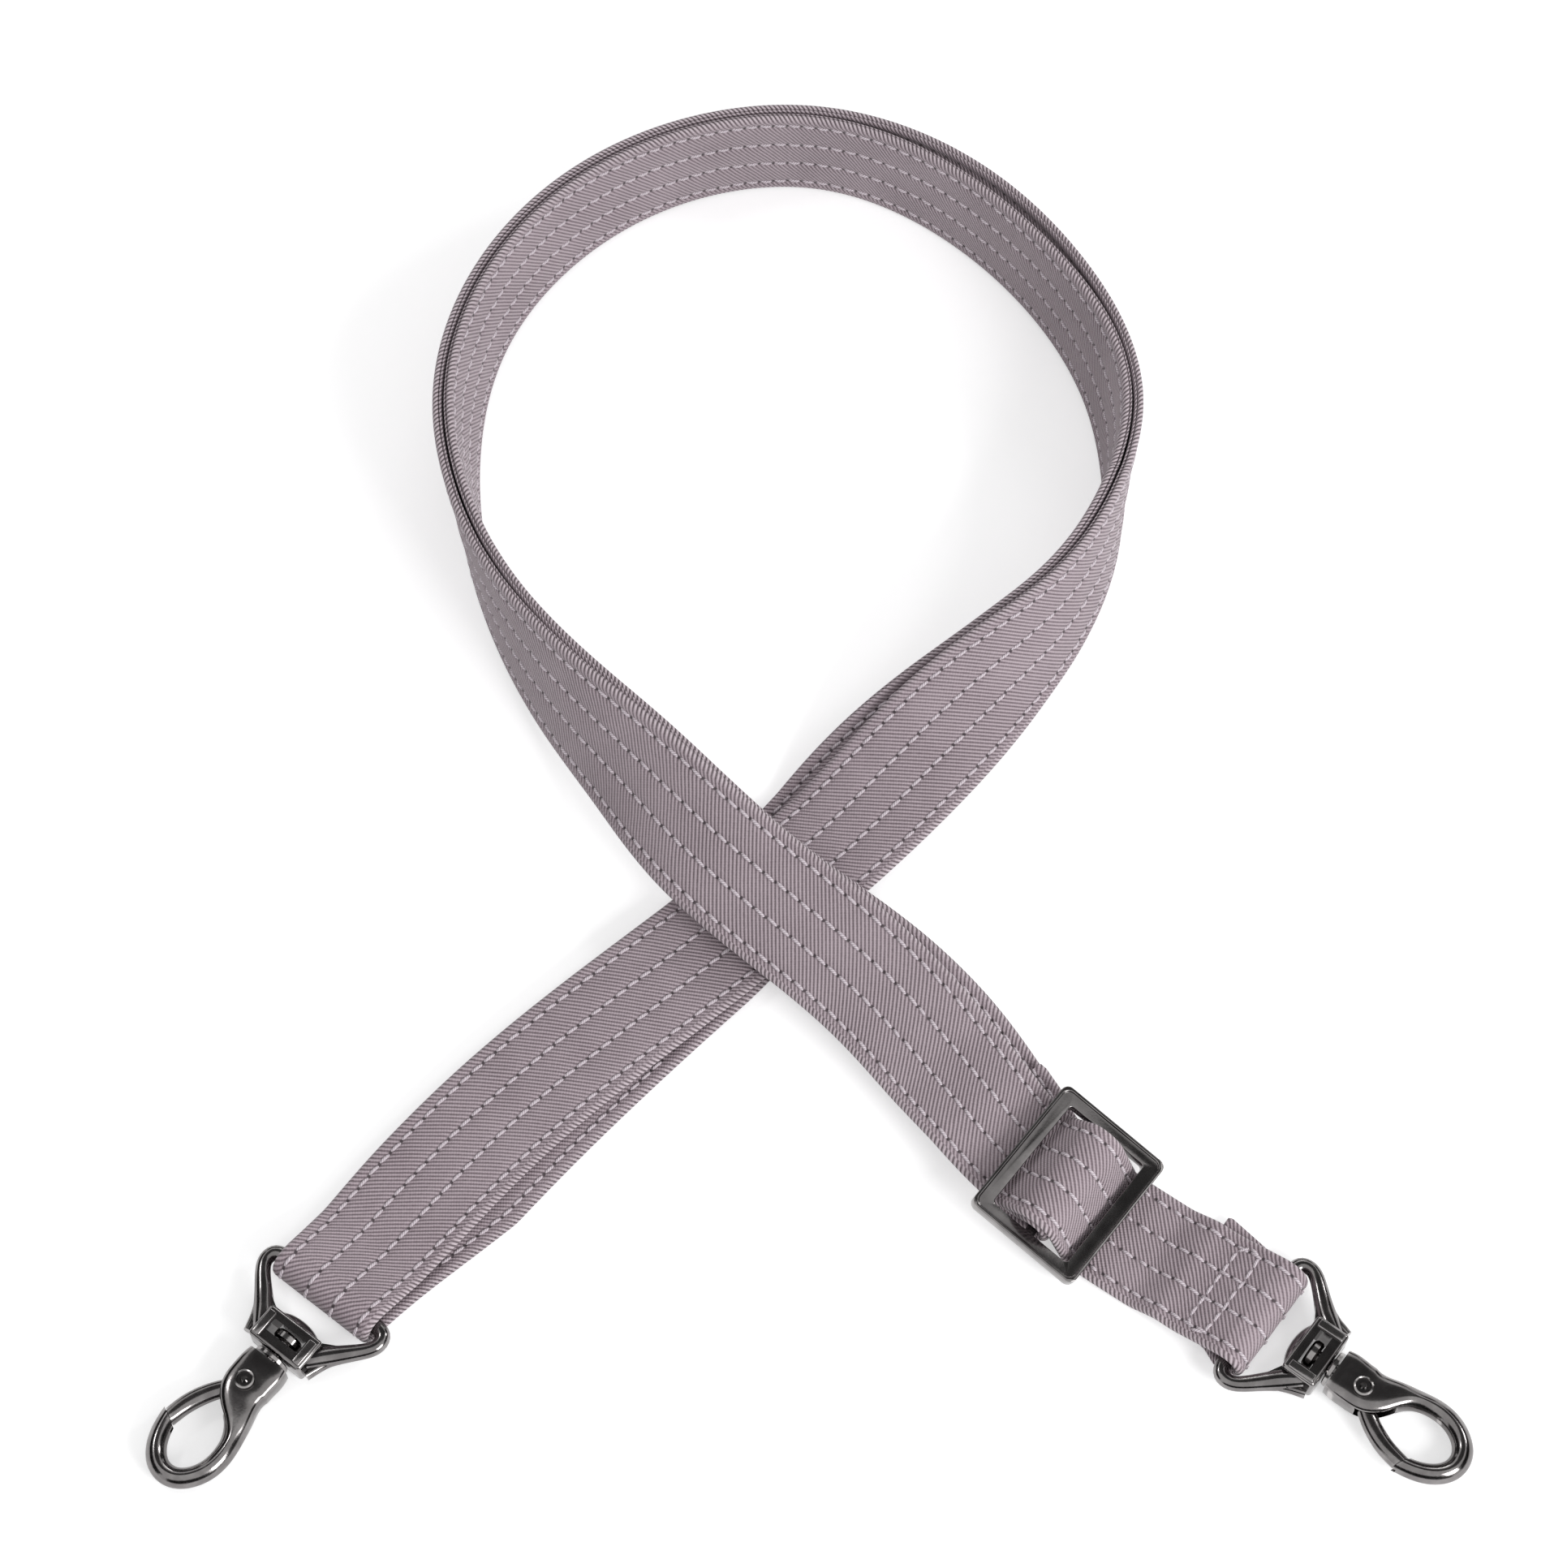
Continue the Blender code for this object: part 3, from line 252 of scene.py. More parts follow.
# The hook from its neck round to its nose: shares of the hook's length along and across its axis, then the
# section's half width and half height as shares of the neck's, and the squareness of the section.
HOOK_SHARES = (
    (0.000, 0.000, 0.94, 0.97, 4.5),
    (0.060, 0.000, 1.00, 1.00, 4.5),
    (0.150, -0.003, 1.00, 1.00, 4.2),
    (0.240, 0.004, 0.98, 1.00, 3.8),
    (0.320, 0.040, 0.82, 0.97, 3.2),
    (0.400, 0.094, 0.60, 0.91, 2.8),
    (0.500, 0.142, 0.46, 0.83, 1.7),
    (0.620, 0.168, 0.42, 0.78, 1.7),
    (0.740, 0.160, 0.42, 0.76, 1.7),
    (0.850, 0.108, 0.42, 0.76, 1.7),
    (0.922, 0.018, 0.43, 0.76, 1.7),
    (0.925, -0.085, 0.43, 0.76, 1.7),
    (0.862, -0.175, 0.42, 0.76, 1.7),
    (0.765, -0.230, 0.41, 0.75, 1.7),
    (0.668, -0.255, 0.40, 0.72, 1.7),
    (0.585, -0.266, 0.40, 0.72, 1.7),
)

# The gate from its barrel to its tip: shares of the hook's length along and across, then the section's half
# width and half height as shares of the gate's own, and the squareness of the section.
GATE_SHARES = (
    (0.250, -0.068, 1.00, 1.00, 2.1),
    (0.350, -0.145, 1.05, 1.00, 2.1),
    (0.450, -0.200, 1.08, 1.05, 2.1),
    (0.540, -0.233, 1.06, 1.15, 2.1),
    (0.630, -0.252, 1.02, 1.25, 2.1),
    (0.690, -0.264, 1.00, 1.25, 2.1),
)

# The first and last place of the slot in the hook, as shares of the gate's opening.
SLOT_SWINGS = (-0.15, 1.04)

# Where the metal pieces are formed, with what joins and cuts them. It is gone at the end.
WORK = bpy.data.collections.new("work")
bpy.context.scene.collection.children.link(WORK)

PITCH = STRAP_THICKNESS + LAYER_GAP
WRAP_RADIUS = CENTRE_BAR_RADIUS + ROUND_FIT + STRAP_THICKNESS / 2
FOLD_RADIUS = BAIL_WIRE_RADIUS + ROUND_FIT + STRAP_THICKNESS / 2
BAR_SPACING = SLIDER_LENGTH - SLIDER_END_BAR
HOOK_START = BAIL_LENGTH + STUD_FLANGE_LENGTH + 2 * GAP
PIVOT = Vector((PIVOT_PLACE, PIVOT_SIDE, 0))


def unit(rows):
    """The same directions with a length of 1."""
    return rows / np.linalg.norm(rows, axis=-1, keepdims=True)


def sampled(places, known, rows):
    """Rows of three, known at some places, at other places between them."""
    return np.column_stack([np.interp(places, known, rows[:, k]) for k in range(3)])


def spline(knots, values, places):
    """Natural cubic spline through the values, at places that lie between the first and the last knot."""
    steps = np.diff(knots)
    count = len(knots)
    system = np.eye(count)
    right = np.zeros_like(values)
    slopes = np.diff(values, axis=0) / steps[:, None]
    for i in range(1, count - 1):
        system[i, i - 1:i + 2] = steps[i - 1], 2 * (steps[i - 1] + steps[i]), steps[i]
        right[i] = 6 * (slopes[i] - slopes[i - 1])
    bends = np.linalg.solve(system, right)
    left = np.clip(np.searchsorted(knots, places, side="right") - 1, 0, count - 2)
    gap = steps[left][:, None]
    after = (places - knots[left])[:, None]
    before = gap - after
    found = (bends[left] * before**3 + bends[left + 1] * after**3) / (6 * gap)
    found += (values[left] / gap - bends[left] * gap / 6) * before
    found += (values[left + 1] / gap - bends[left + 1] * gap / 6) * after
    return found


def chord_knots(points):
    steps = np.linalg.norm(np.diff(points, axis=0), axis=1)
    return np.concatenate([[0.0], np.cumsum(steps)])


def smooth_bump(distance, reach):
    """1 in the middle, 0 at the reach and beyond."""
    inside = np.clip(np.abs(distance) / reach, 0, 1)
    return 0.5 + 0.5 * np.cos(math.pi * inside)


class Route:
    """The line of the strap's lowest layer, with its directions along, across and out of the layers."""

    def __init__(self):
        table = np.array(ROUTE_SHARES, float)
        flat = table[:, :2] * ROUTE_SPAN
        knots = chord_knots(flat)
        places = np.linspace(0, knots[-1], ROUTE_SAMPLES)
        plan = spline(knots, flat, places)
        lean, lift = spline(knots, table[:, 2:], places).T
        self.s = chord_knots(plan)
        self.length = self.s[-1]
        past_slider = np.clip(self.s - SLIDER_PLACE - LOOSE_REACH, 0, None)
        lean = np.minimum(np.radians(np.clip(lean, 0, None)), past_slider * LEAN_RATE)
        lift = np.minimum(lift, past_slider * LIFT_RATE)
        ahead = unit(np.gradient(plan, self.s, axis=0))
        across = np.stack([ahead[:, 1], -ahead[:, 0]], axis=1)
        outer = PITCH + self.spread(self.s) + STRAP_THICKNESS / 2
        plan = plan + across * (np.sin(lean) * outer)[:, None]
        height = np.sin(lean) * self.width(self.s) / 2 + np.abs(np.cos(lean)) * STRAP_THICKNESS / 2
        height += np.maximum(0, -PITCH * np.cos(lean)) + np.clip(lift, 0, None) * PITCH
        self.line = np.column_stack([plan, height])
        self.ahead = unit(np.gradient(self.line, self.s, axis=0))
        leaning = np.column_stack([np.cos(lean)[:, None] * across, np.sin(lean)])
        self.across = unit(leaning - np.sum(leaning * self.ahead, axis=1)[:, None] * self.ahead)

    def spread(self, s):
        """How far the two layers stand apart where the loop is loose."""
        return LAYER_SPREAD * smooth_bump(s - SPREAD_PLACE_SHARE * self.length, SPREAD_REACH)

    def width(self, s):
        """The strap draws in where it runs through metal."""
        loose_from = SLIDER_PLACE + WAVE_REACH
        drawn = np.maximum(
            smooth_bump(np.clip(s - loose_from, 0, None), DRAW_IN_REACH),
            smooth_bump(self.length - s, DRAW_IN_REACH),
        )
        return STRAP_WIDTH - (STRAP_WIDTH - DRAWN_IN_WIDTH) * drawn

    def slip(self, s):
        """Sideways shift of the lower layer, in the loop along both arms, and outwards by the left hook."""
        from_end = self.length - s
        left = smooth_bump(from_end - LEFT_SLIP_PLACE, LEFT_SLIP_REACH)
        left *= np.clip(from_end / LEFT_SLIP_PLACE, 0, 1)
        under = smooth_bump(from_end - UNDER_SLIP_PLACE, UNDER_SLIP_REACH)
        over = smooth_bump(s - OVER_SLIP_PLACE, OVER_SLIP_REACH)
        rise = np.clip((s - SLIDER_PLACE - SLIP_START) / SLIP_RISE, 0, 1)
        over *= rise * rise * (3 - 2 * rise)
        return OVER_SLIP * over + UNDER_SLIP * under - LEFT_SLIP * left

    def rows(self, places):
        """Points, ahead, across and outward at distances along the strap, straight on past its ends."""
        inside = np.clip(places, 0, self.length)
        tracks = (self.line, self.ahead, self.across)
        point, ahead, across = [sampled(inside, self.s, track) for track in tracks]
        ahead, across = unit(ahead), unit(across)
        return point + ahead * (places - inside)[:, None], ahead, across, np.cross(across, ahead)

    def at(self, place):
        return [row[0] for row in self.rows(np.array([place]))]


def filleted(corners):
    """Points along a line of (place, height, radius) corners, each rounded by its radius."""
    spots = np.array([corner[:2] for corner in corners], float)
    points = [spots[0]]
    for corner, following, (_, _, radius) in zip(spots[1:], spots[2:], corners[1:]):
        before = unit(points[-1] - corner)
        after = unit(following - corner)
        turn = math.pi - math.acos(max(-1.0, min(1.0, float(before @ after))))
        reach = radius * math.tan(turn / 2)
        count = max(2, math.ceil(turn / FILLET_STEP) + 1)
        centre = corner + unit(before + after) * (radius / math.cos(turn / 2))
        start = corner + before * reach - centre
        side = corner + after * reach - centre
        for share in np.arange(count) / (count - 1):
            swing = turn * share
            blend = (math.sin(turn - swing) * start + math.sin(swing) * side) / math.sin(turn)
            points.append(centre + blend)
    return points + [spots[-1]]


def slider_heights():
    """Height of the centre bar's axis above the lowest layer, and the slider's tilt."""
    seat = STRAP_THICKNESS / 2 + GAP + SLIDER_HEIGHT / 2
    tilt = math.asin(2 * PITCH / BAR_SPACING)
    return seat + PITCH + math.sin(tilt) * SLIDER_END_BAR / 2, tilt


def slope_foot(radius, bar_height, level, angle):
    """Distance from the centre bar at which a slope that is tangent to a circle round it meets a level."""
    return (radius + (bar_height - level) * math.cos(angle)) / math.sin(angle)


def outer_profile(length):
    """The upper layer: tail under the right hook, fold, slider wave, loop, and up to the left hook's bar."""
    bar = slider_heights()[0]
    over = WRAP_RADIUS + PITCH
    back = SLIDER_PLACE - slope_foot(over, bar, 0, SLIDER_BACK_SLOPE)
    front = SLIDER_PLACE + slope_foot(over, bar, 2 * PITCH, SLIDER_FRONT_SLOPE)
    crest = bar + over
    fold_top = 2 * FOLD_RADIUS
    ramp = BAR_RAMP_LENGTH
    tail_end = SLIDER_PLACE + SLIDER_TAIL_LENGTH
    return (
        (HOOK_TAIL_LENGTH, 0, 0),
        (-FOLD_RADIUS, 0, FOLD_RADIUS),
        (-FOLD_RADIUS, fold_top, FOLD_RADIUS),
        (FOLD_RADIUS / 2, fold_top, FOLD_RADIUS),
        (ramp, PITCH, ramp),
        (HOOK_TAIL_LENGTH + GAP, PITCH, STEP_DOWN_LENGTH),
        (HOOK_TAIL_LENGTH + STEP_DOWN_LENGTH, 0, STEP_DOWN_LENGTH),
        (back, 0, STRAP_THICKNESS),
        (SLIDER_PLACE - over * math.tan(SLIDER_BACK_SLOPE / 2), crest, over),
        (SLIDER_PLACE + over * math.tan(SLIDER_FRONT_SLOPE / 2), crest, over),
        (front, 2 * PITCH, STRAP_THICKNESS),
        (tail_end + GAP, 2 * PITCH, STEP_DOWN_LENGTH),
        (tail_end + STEP_DOWN_LENGTH * 2, PITCH, STEP_DOWN_LENGTH * 2),
        (length - ramp, PITCH, ramp),
        (length - FOLD_RADIUS / 2, fold_top, FOLD_RADIUS),
        (length + FOLD_RADIUS, fold_top, FOLD_RADIUS),
        (length + FOLD_RADIUS, 0, FOLD_RADIUS),
        (length, 0, 0),
    )


def return_profile(length):
    """The lower layer: from the left hook's bar back to the slider, round its centre bar, and its tail."""
    bar = slider_heights()[0]
    top = bar + WRAP_RADIUS
    bottom = bar - WRAP_RADIUS
    foot = slope_foot(WRAP_RADIUS, bar, PITCH, SLIDER_FRONT_SLOPE)
    place = SLIDER_PLACE
    return (
        (length, 0, 0),
        (place + foot, 0, STRAP_THICKNESS * 2),
        (place + WRAP_RADIUS / 2, bottom, STRAP_THICKNESS),
        (place - WRAP_RADIUS, bottom, WRAP_RADIUS),
        (place - WRAP_RADIUS, top, WRAP_RADIUS),
        (place + WRAP_RADIUS * math.tan(SLIDER_FRONT_SLOPE / 2), top, WRAP_RADIUS),
        (place + foot, PITCH, STRAP_THICKNESS),
        (place + SLIDER_TAIL_LENGTH, PITCH, 0),
    )


def between(points, first, last):
    """The points of a line whose place lies between two places, with exact ends."""
    kept = [p for p in points if first + GAP < p[0] < last - GAP]
    places, heights = np.array(sorted((p[0], p[1]) for p in points)).T
    start, end = [np.array([place, np.interp(place, places, heights)]) for place in (first, last)]
    return [start] + kept + [end]


def placed(name, data, group=bpy.context.scene.collection):
    """A new object in the scene, or in a collection of it."""
    made = bpy.data.objects.new(name, data)
    group.objects.link(made)
    return made


def formed(name, shape):
    """A shape as a piece to work on."""
    mesh = bpy.data.meshes.new(name)
    shape.to_mesh(mesh)
    shape.free()
    return placed(name, mesh, WORK)


def bevelled(target, width, segments):
    bevel = target.modifiers.new("edge_round", "BEVEL")
    bevel.width = width
    bevel.segments = segments
    bevel.limit_method = "ANGLE"
    bevel.angle_limit = BEVEL_ANGLE


def boolean(target, tool, operation):
    """Joins a piece with another or cuts it by another, which becomes its child."""
    change = target.modifiers.new(tool.name, "BOOLEAN")
    change.operation = operation
    change.object = tool
    change.solver = "EXACT"
    tool.parent = target


def join(target, shape, round_off=0.0, segments=EDGE_SEGMENTS):
    """Joins a piece with a shape, whose edges may be rounded first."""
    tool = formed("joined", shape)
    if round_off:
        bevelled(tool, round_off, segments)
    boolean(target, tool, "UNION")


def cut(target, shape):
    boolean(target, formed("cutter", shape), "DIFFERENCE")


def skin_rings(rings):
    """One closed body through rings of points, capped at both ends, with its faces out."""
    shape = bmesh.new()
    rows = [[shape.verts.new(point) for point in ring] for ring in rings]
    for before, after in zip(rows, rows[1:]):
        for a, b, c, d in zip(before, before[1:] + before[:1], after[1:] + after[:1], after):
            shape.faces.new((a, b, c))
            shape.faces.new((a, c, d))
    shape.faces.new(rows[0][::-1])
    shape.faces.new(rows[-1])
    bmesh.ops.recalc_face_normals(shape, faces=shape.faces[:])
    return shape


def box_shape(size, centre, turn=None):
    shape = bmesh.new()
    bmesh.ops.create_cube(shape, size=1)
    bmesh.ops.scale(shape, vec=size, verts=shape.verts)
    if turn is not None:
        bmesh.ops.rotate(shape, matrix=turn, verts=shape.verts)
    bmesh.ops.translate(shape, vec=centre, verts=shape.verts)
    return shape


def rounded_plate(size, centre, corner):
    """A plate with round upright corners."""
    shape = box_shape(size, centre)
    upright = [e for e in shape.edges if abs(e.verts[0].co.z - e.verts[1].co.z) > size[2] / 2]
    bmesh.ops.bevel(shape, geom=upright, offset=corner, segments=CORNER_SEGMENTS, affect="EDGES", profile=0.5)
    return shape


def rod_shape(radius, start, end, segments=ROUND_SEGMENTS):
    """A cylinder from one point to another."""
    shape = bmesh.new()
    start, end = Vector(start), Vector(end)
    line = end - start
    bmesh.ops.create_cone(
        shape, cap_ends=True, segments=segments, radius1=radius, radius2=radius, depth=line.length
    )
    turn = line.to_track_quat("Z", "Y").to_matrix()
    bmesh.ops.rotate(shape, matrix=turn, verts=shape.verts)
    bmesh.ops.translate(shape, vec=(start + end) / 2, verts=shape.verts)
    return shape


def prism_shape(outline, half_height):
    """An upright prism on an outline of (x, y) points."""
    shape = bmesh.new()
    low, high = [[shape.verts.new((x, y, z)) for x, y in outline] for z in (-half_height, half_height)]
    shape.faces.new(low[::-1])
    shape.faces.new(high)
    for k in range(len(low)):
        shape.faces.new((low[k - 1], low[k], high[k], high[k - 1]))
    bmesh.ops.recalc_face_normals(shape, faces=shape.faces[:])
    return shape


def fan_shape(centre, first, last, reach, half_width, half_height):
    """The plate that a straight bar sweeps as it turns about a centre from one angle to another."""
    corners = (
        (first, 0, -half_width),
        (first, reach, -half_width),
        ((first + last) / 2, reach + half_width / 2, 0),
        (last, reach, half_width),
        (last, 0, half_width),
    )
    outline = [centre + Matrix.Rotation(angle, 3, "Z") @ Vector((x, y, 0)) for angle, x, y in corners]
    return prism_shape([corner[:2] for corner in outline], half_height)


def turned(name, profile):
    """A turned piece about its own Z axis, from (depth, radius) pairs that start and end on the axis."""
    mesh = bpy.data.meshes.new(name)
    edges = [(i, i + 1) for i in range(len(profile) - 1)]
    mesh.from_pydata([(radius, 0.0, -depth) for depth, radius in profile], edges, [])
    made = placed(name, mesh, WORK)
    screw = made.modifiers.new("turn", "SCREW")
    screw.steps = ROUND_SEGMENTS
    screw.render_steps = ROUND_SEGMENTS
    screw.use_merge_vertices = True
    screw.merge_threshold = CLOSED_MERGE
    return made


def squared(waves, power):
    """Cosines or sines, pushed out towards a square."""
    return np.copysign(np.abs(waves) ** (2 / power), waves)


def loft(table, rings):
    """A bar through (along, across, half width, half height, squareness) stations in a flat plane."""
    knots = chord_knots(table[:, :2])
    places = np.linspace(0, knots[-1], rings)
    smooth = spline(knots, table, places)
    ahead = unit(np.gradient(smooth[:, :2], places, axis=0))
    angles = 2 * math.pi * (np.arange(RING_POINTS) + 0.5) / RING_POINTS
    made = []
    for (x, y, half_width, half_height, power), way in zip(smooth, ahead):
        side = squared(np.cos(angles), power) * half_width
        rise = squared(np.sin(angles), power) * half_height
        made.append(np.column_stack([x - way[1] * side, y + way[0] * side, rise]))
    return skin_rings(made)


def seated(point, ahead, left, up):
    """Place and turn of a piece whose own axes point ahead, left and up."""
    return Matrix.Translation(Vector(point)) @ Matrix((ahead, left, up)).transposed().to_4x4()


def slider(route):
    """A flat rectangular frame with a round centre bar, tilted over the layers that run under its bars."""
    bar, tilt = slider_heights()
    size = (SLIDER_LENGTH, SLIDER_WIDTH, SLIDER_HEIGHT + RIM_HEIGHT)
    made = formed("slider_frame", rounded_plate(size, (0, 0, RIM_HEIGHT / 2), SLIDER_CORNER))
    bed = (SLIDER_LENGTH - 2 * RIM_WIDTH, SLIDER_WIDTH - 2 * RIM_WIDTH, 2 * SLIDER_HEIGHT)
    cut(made, rounded_plate(bed, (0, 0, SLIDER_HEIGHT * 3 / 2), SLIDER_CORNER))
    inner = (
        SLIDER_LENGTH - 2 * SLIDER_END_BAR,
        SLIDER_WIDTH - 2 * SLIDER_SIDE_BAR,
        SLIDER_HEIGHT + 2 * CUT_OVERRUN,
    )
    cut(made, rounded_plate(inner, (0, 0, 0), SLIDER_CORNER / 2))
    bevelled(made, RIM_ROUND, EDGE_SEGMENTS)
    reach = SLIDER_WIDTH / 2 - SLIDER_SIDE_BAR / 2
    join(made, rod_shape(CENTRE_BAR_RADIUS, (0, -reach, 0), (0, reach, 0)))
    point, ahead, across, outward = route.at(SLIDER_PLACE)
    seat = seated(point + outward * bar, ahead, -across, outward)
    made.matrix_world = seat @ Matrix.Rotation(-tilt, 4, "Y")


def bail(side, seat):
    """The strap's bar and rails with the swivel cage, which has a window and a hole for the stud."""
    half = np.array(BAIL_SHARES) * (BAIL_LENGTH, BAIL_HALF_WIDTH, BAIL_WIRE_RADIUS, BAIL_WIRE_RADIUS, 1)
    other = half[:0:-1] * (1, -1, 1, 1, 1)
    made = formed(f"{side}_bail", loft(np.vstack([other, half]), BAIL_RINGS))
    made.parent = seat
    cage_length = BAIL_LENGTH - CAGE_START
    cage = (cage_length, 2 * CAGE_HALF_WIDTH, 2 * CAGE_HALF_HEIGHT)
    cage_middle = (CAGE_START + cage_length / 2, 0, 0)
    join(made, box_shape(cage, cage_middle), CAGE_EDGE_ROUND, CAGE_EDGE_SEGMENTS)
    for way in (-1, 1):
        outline = [(BAIL_LENGTH * a, way * BAIL_HALF_WIDTH * b) for a, b in FIN_SHARES]
        join(made, prism_shape(outline, FIN_HALF_HEIGHT))
        sizes = (BAIL_LENGTH, way * BAIL_HALF_WIDTH, FIN_WIRE_RADIUS, FIN_WIRE_RADIUS, 1)
        join(made, loft(np.array(FIN_RIM_SHARES) * sizes, FIN_RINGS))
        lug_middle = (LUG_PLACE, way * LUG_SIDE, CAGE_HALF_HEIGHT + LUG_RISE - LUG_SIZE[2] / 2)
        join(made, box_shape(LUG_SIZE, lug_middle), LUG_RISE / 2)
    dome = bmesh.new()
    bmesh.ops.create_uvsphere(dome, u_segments=DOME_SEGMENTS, v_segments=DOME_SEGMENTS // 2, radius=1)
    reach = CAGE_HALF_WIDTH - CAGE_EDGE_ROUND
    rise = CAGE_HALF_HEIGHT - CAGE_EDGE_ROUND / 2
    bmesh.ops.scale(dome, vec=(DOME_DEPTH * 2, reach, rise), verts=dome.verts)
    bmesh.ops.translate(dome, vec=(CAGE_START + DOME_DEPTH, 0, 0), verts=dome.verts)
    join(made, dome)
    window_length = CAGE_WINDOW_END - CAGE_WINDOW_START
    window = (window_length, 2 * CAGE_WINDOW_HALF_WIDTH, 2 * (CAGE_HALF_HEIGHT + CUT_OVERRUN))
    cut(made, box_shape(window, (CAGE_WINDOW_START + window_length / 2, 0, 0)))
    ends = ((CAGE_WINDOW_END - CUT_OVERRUN, 0, 0), (BAIL_LENGTH + CUT_OVERRUN, 0, 0))
    cut(made, rod_shape(STUD_SHANK_RADIUS + ROUND_FIT, *ends))
    return made


def stud(side):
    """The swivel stud: head in the cage's window, shank through the cage, flange, and plug into the hook."""
    head_start = CAGE_WINDOW_START + GAP - HOOK_START
    head_end = CAGE_WINDOW_END - GAP - HOOK_START
    flange_start = BAIL_LENGTH + GAP - HOOK_START
    flange_end = flange_start + STUD_FLANGE_LENGTH
    made = turned(f"{side}_stud", (
        (head_start, 0.0),
        (head_start, STUD_HEAD_RADIUS - STUD_EDGE_ROUND),
        (head_start + STUD_EDGE_ROUND, STUD_HEAD_RADIUS),
        (head_end - STUD_EDGE_ROUND, STUD_HEAD_RADIUS),
        (head_end, STUD_HEAD_RADIUS - STUD_EDGE_ROUND),
        (head_end, STUD_SHANK_RADIUS),
        (flange_start, STUD_SHANK_RADIUS),
        (flange_start, STUD_FLANGE_RADIUS - STUD_EDGE_ROUND / 2),
        (flange_start + STUD_EDGE_ROUND / 2, STUD_FLANGE_RADIUS),
        (flange_end, STUD_FLANGE_RADIUS),
        (flange_end, STUD_SHANK_RADIUS),
        (flange_end + STUD_PLUG_LENGTH, STUD_SHANK_RADIUS),
        (flange_end + STUD_PLUG_LENGTH, 0.0),
    ))
    made.rotation_euler = (0, -math.pi / 2, 0)
    return made


def tip_block(pivot, near, far, half_width, half_height):
    """A block across the gate's tip, between two distances from it along the line from the pivot."""
    tip = Vector((HOOK_LENGTH * GATE_TIP_SHARES[0], HOOK_LENGTH * GATE_TIP_SHARES[1], 0))
    arm = tip - PIVOT
    turn = Matrix.Rotation(math.atan2(arm.y, arm.x), 3, "Z")
    middle = pivot + turn @ Vector((arm.length + (near + far) / 2, 0, 0))
    return box_shape((far - near, 2 * half_width, 2 * half_height), middle, turn)


def tip_trim(pivot, way):
    """What trims the nose or the gate's tip square to the line from the pivot, so that the two clear."""
    middle = way * (TIP_CUT_LENGTH - TIP_GAP) / 2
    near, far = middle - TIP_CUT_LENGTH / 2, middle + TIP_CUT_LENGTH / 2
    return tip_block(pivot, near, far, 2 * GATE_HALF_WIDTH, 2 * HOOK_HALF_HEIGHT)


def hook_body(side, bail_piece):
    """The cast hook, from its neck round the eye to its nose, with the slot that the gate turns in."""
    stations = np.array(HOOK_SHARES) * (HOOK_LENGTH, HOOK_LENGTH, HOOK_HALF_WIDTH, HOOK_HALF_HEIGHT, 1)
    made = formed(f"{side}_hook", loft(stations, HOOK_RINGS))
    made.parent = bail_piece
    made.location = (HOOK_START, 0, 0)
    ends = ((-CUT_OVERRUN, 0, 0), (STUD_PLUG_LENGTH + GAP, 0, 0))
    cut(made, rod_shape(STUD_SHANK_RADIUS + ROUND_FIT, *ends))
    slot_half = GATE_HALF_HEIGHT + GAP
    half_slot = Vector((0, 0, slot_half))
    cut(made, rod_shape(GATE_BARREL_RADIUS + 2 * GAP, PIVOT - half_slot, PIVOT + half_slot))
    arm = Vector((GATE_SHARES[1][0] * HOOK_LENGTH, GATE_SHARES[1][1] * HOOK_LENGTH, 0)) - PIVOT
    swings = [math.atan2(arm.y, arm.x) + swing * GATE_OPENING for swing in SLOT_SWINGS]
    cut(made, fan_shape(PIVOT, *swings, 2 * HOOK_HALF_WIDTH, GATE_HALF_WIDTH + 2 * GAP, slot_half))
    cut(made, tip_trim(PIVOT, -1))
    reach = TONGUE_REACH + TIP_GAP
    cut(made, tip_block(PIVOT, -reach, reach, 4 * GATE_HALF_WIDTH, TONGUE_HALF_HEIGHT + TIP_GAP))
    past = Vector((0, 0, HOOK_HALF_HEIGHT + CUT_OVERRUN))
    cut(made, rod_shape(RIVET_RADIUS + ROUND_FIT, PIVOT - past, PIVOT + past, HOLE_SEGMENTS))
    return made


def rivet(side):
    """The gate's rivet: a ringed head on the face, and a shank that ends flush with the back."""
    under = HOOK_HALF_HEIGHT + GAP
    top = under + RIVET_HEAD_HEIGHT
    groove = RIVET_HEAD_HEIGHT / 2
    return turned(f"{side}_rivet", (
        (-top, 0.0),
        (-top, RIVET_RADIUS * RIVET_END_SHARE),
        (-top + groove, RIVET_RADIUS),
        (-top + groove, RIVET_HEAD_RADIUS * RIVET_RING_SHARES[0]),
        (-top, RIVET_HEAD_RADIUS * RIVET_RING_SHARES[1]),
        (-top + groove / 2, RIVET_HEAD_RADIUS),
        (-under, RIVET_HEAD_RADIUS),
        (-under, RIVET_RADIUS),
        (HOOK_HALF_HEIGHT, RIVET_RADIUS),
        (HOOK_HALF_HEIGHT, 0.0),
    ))


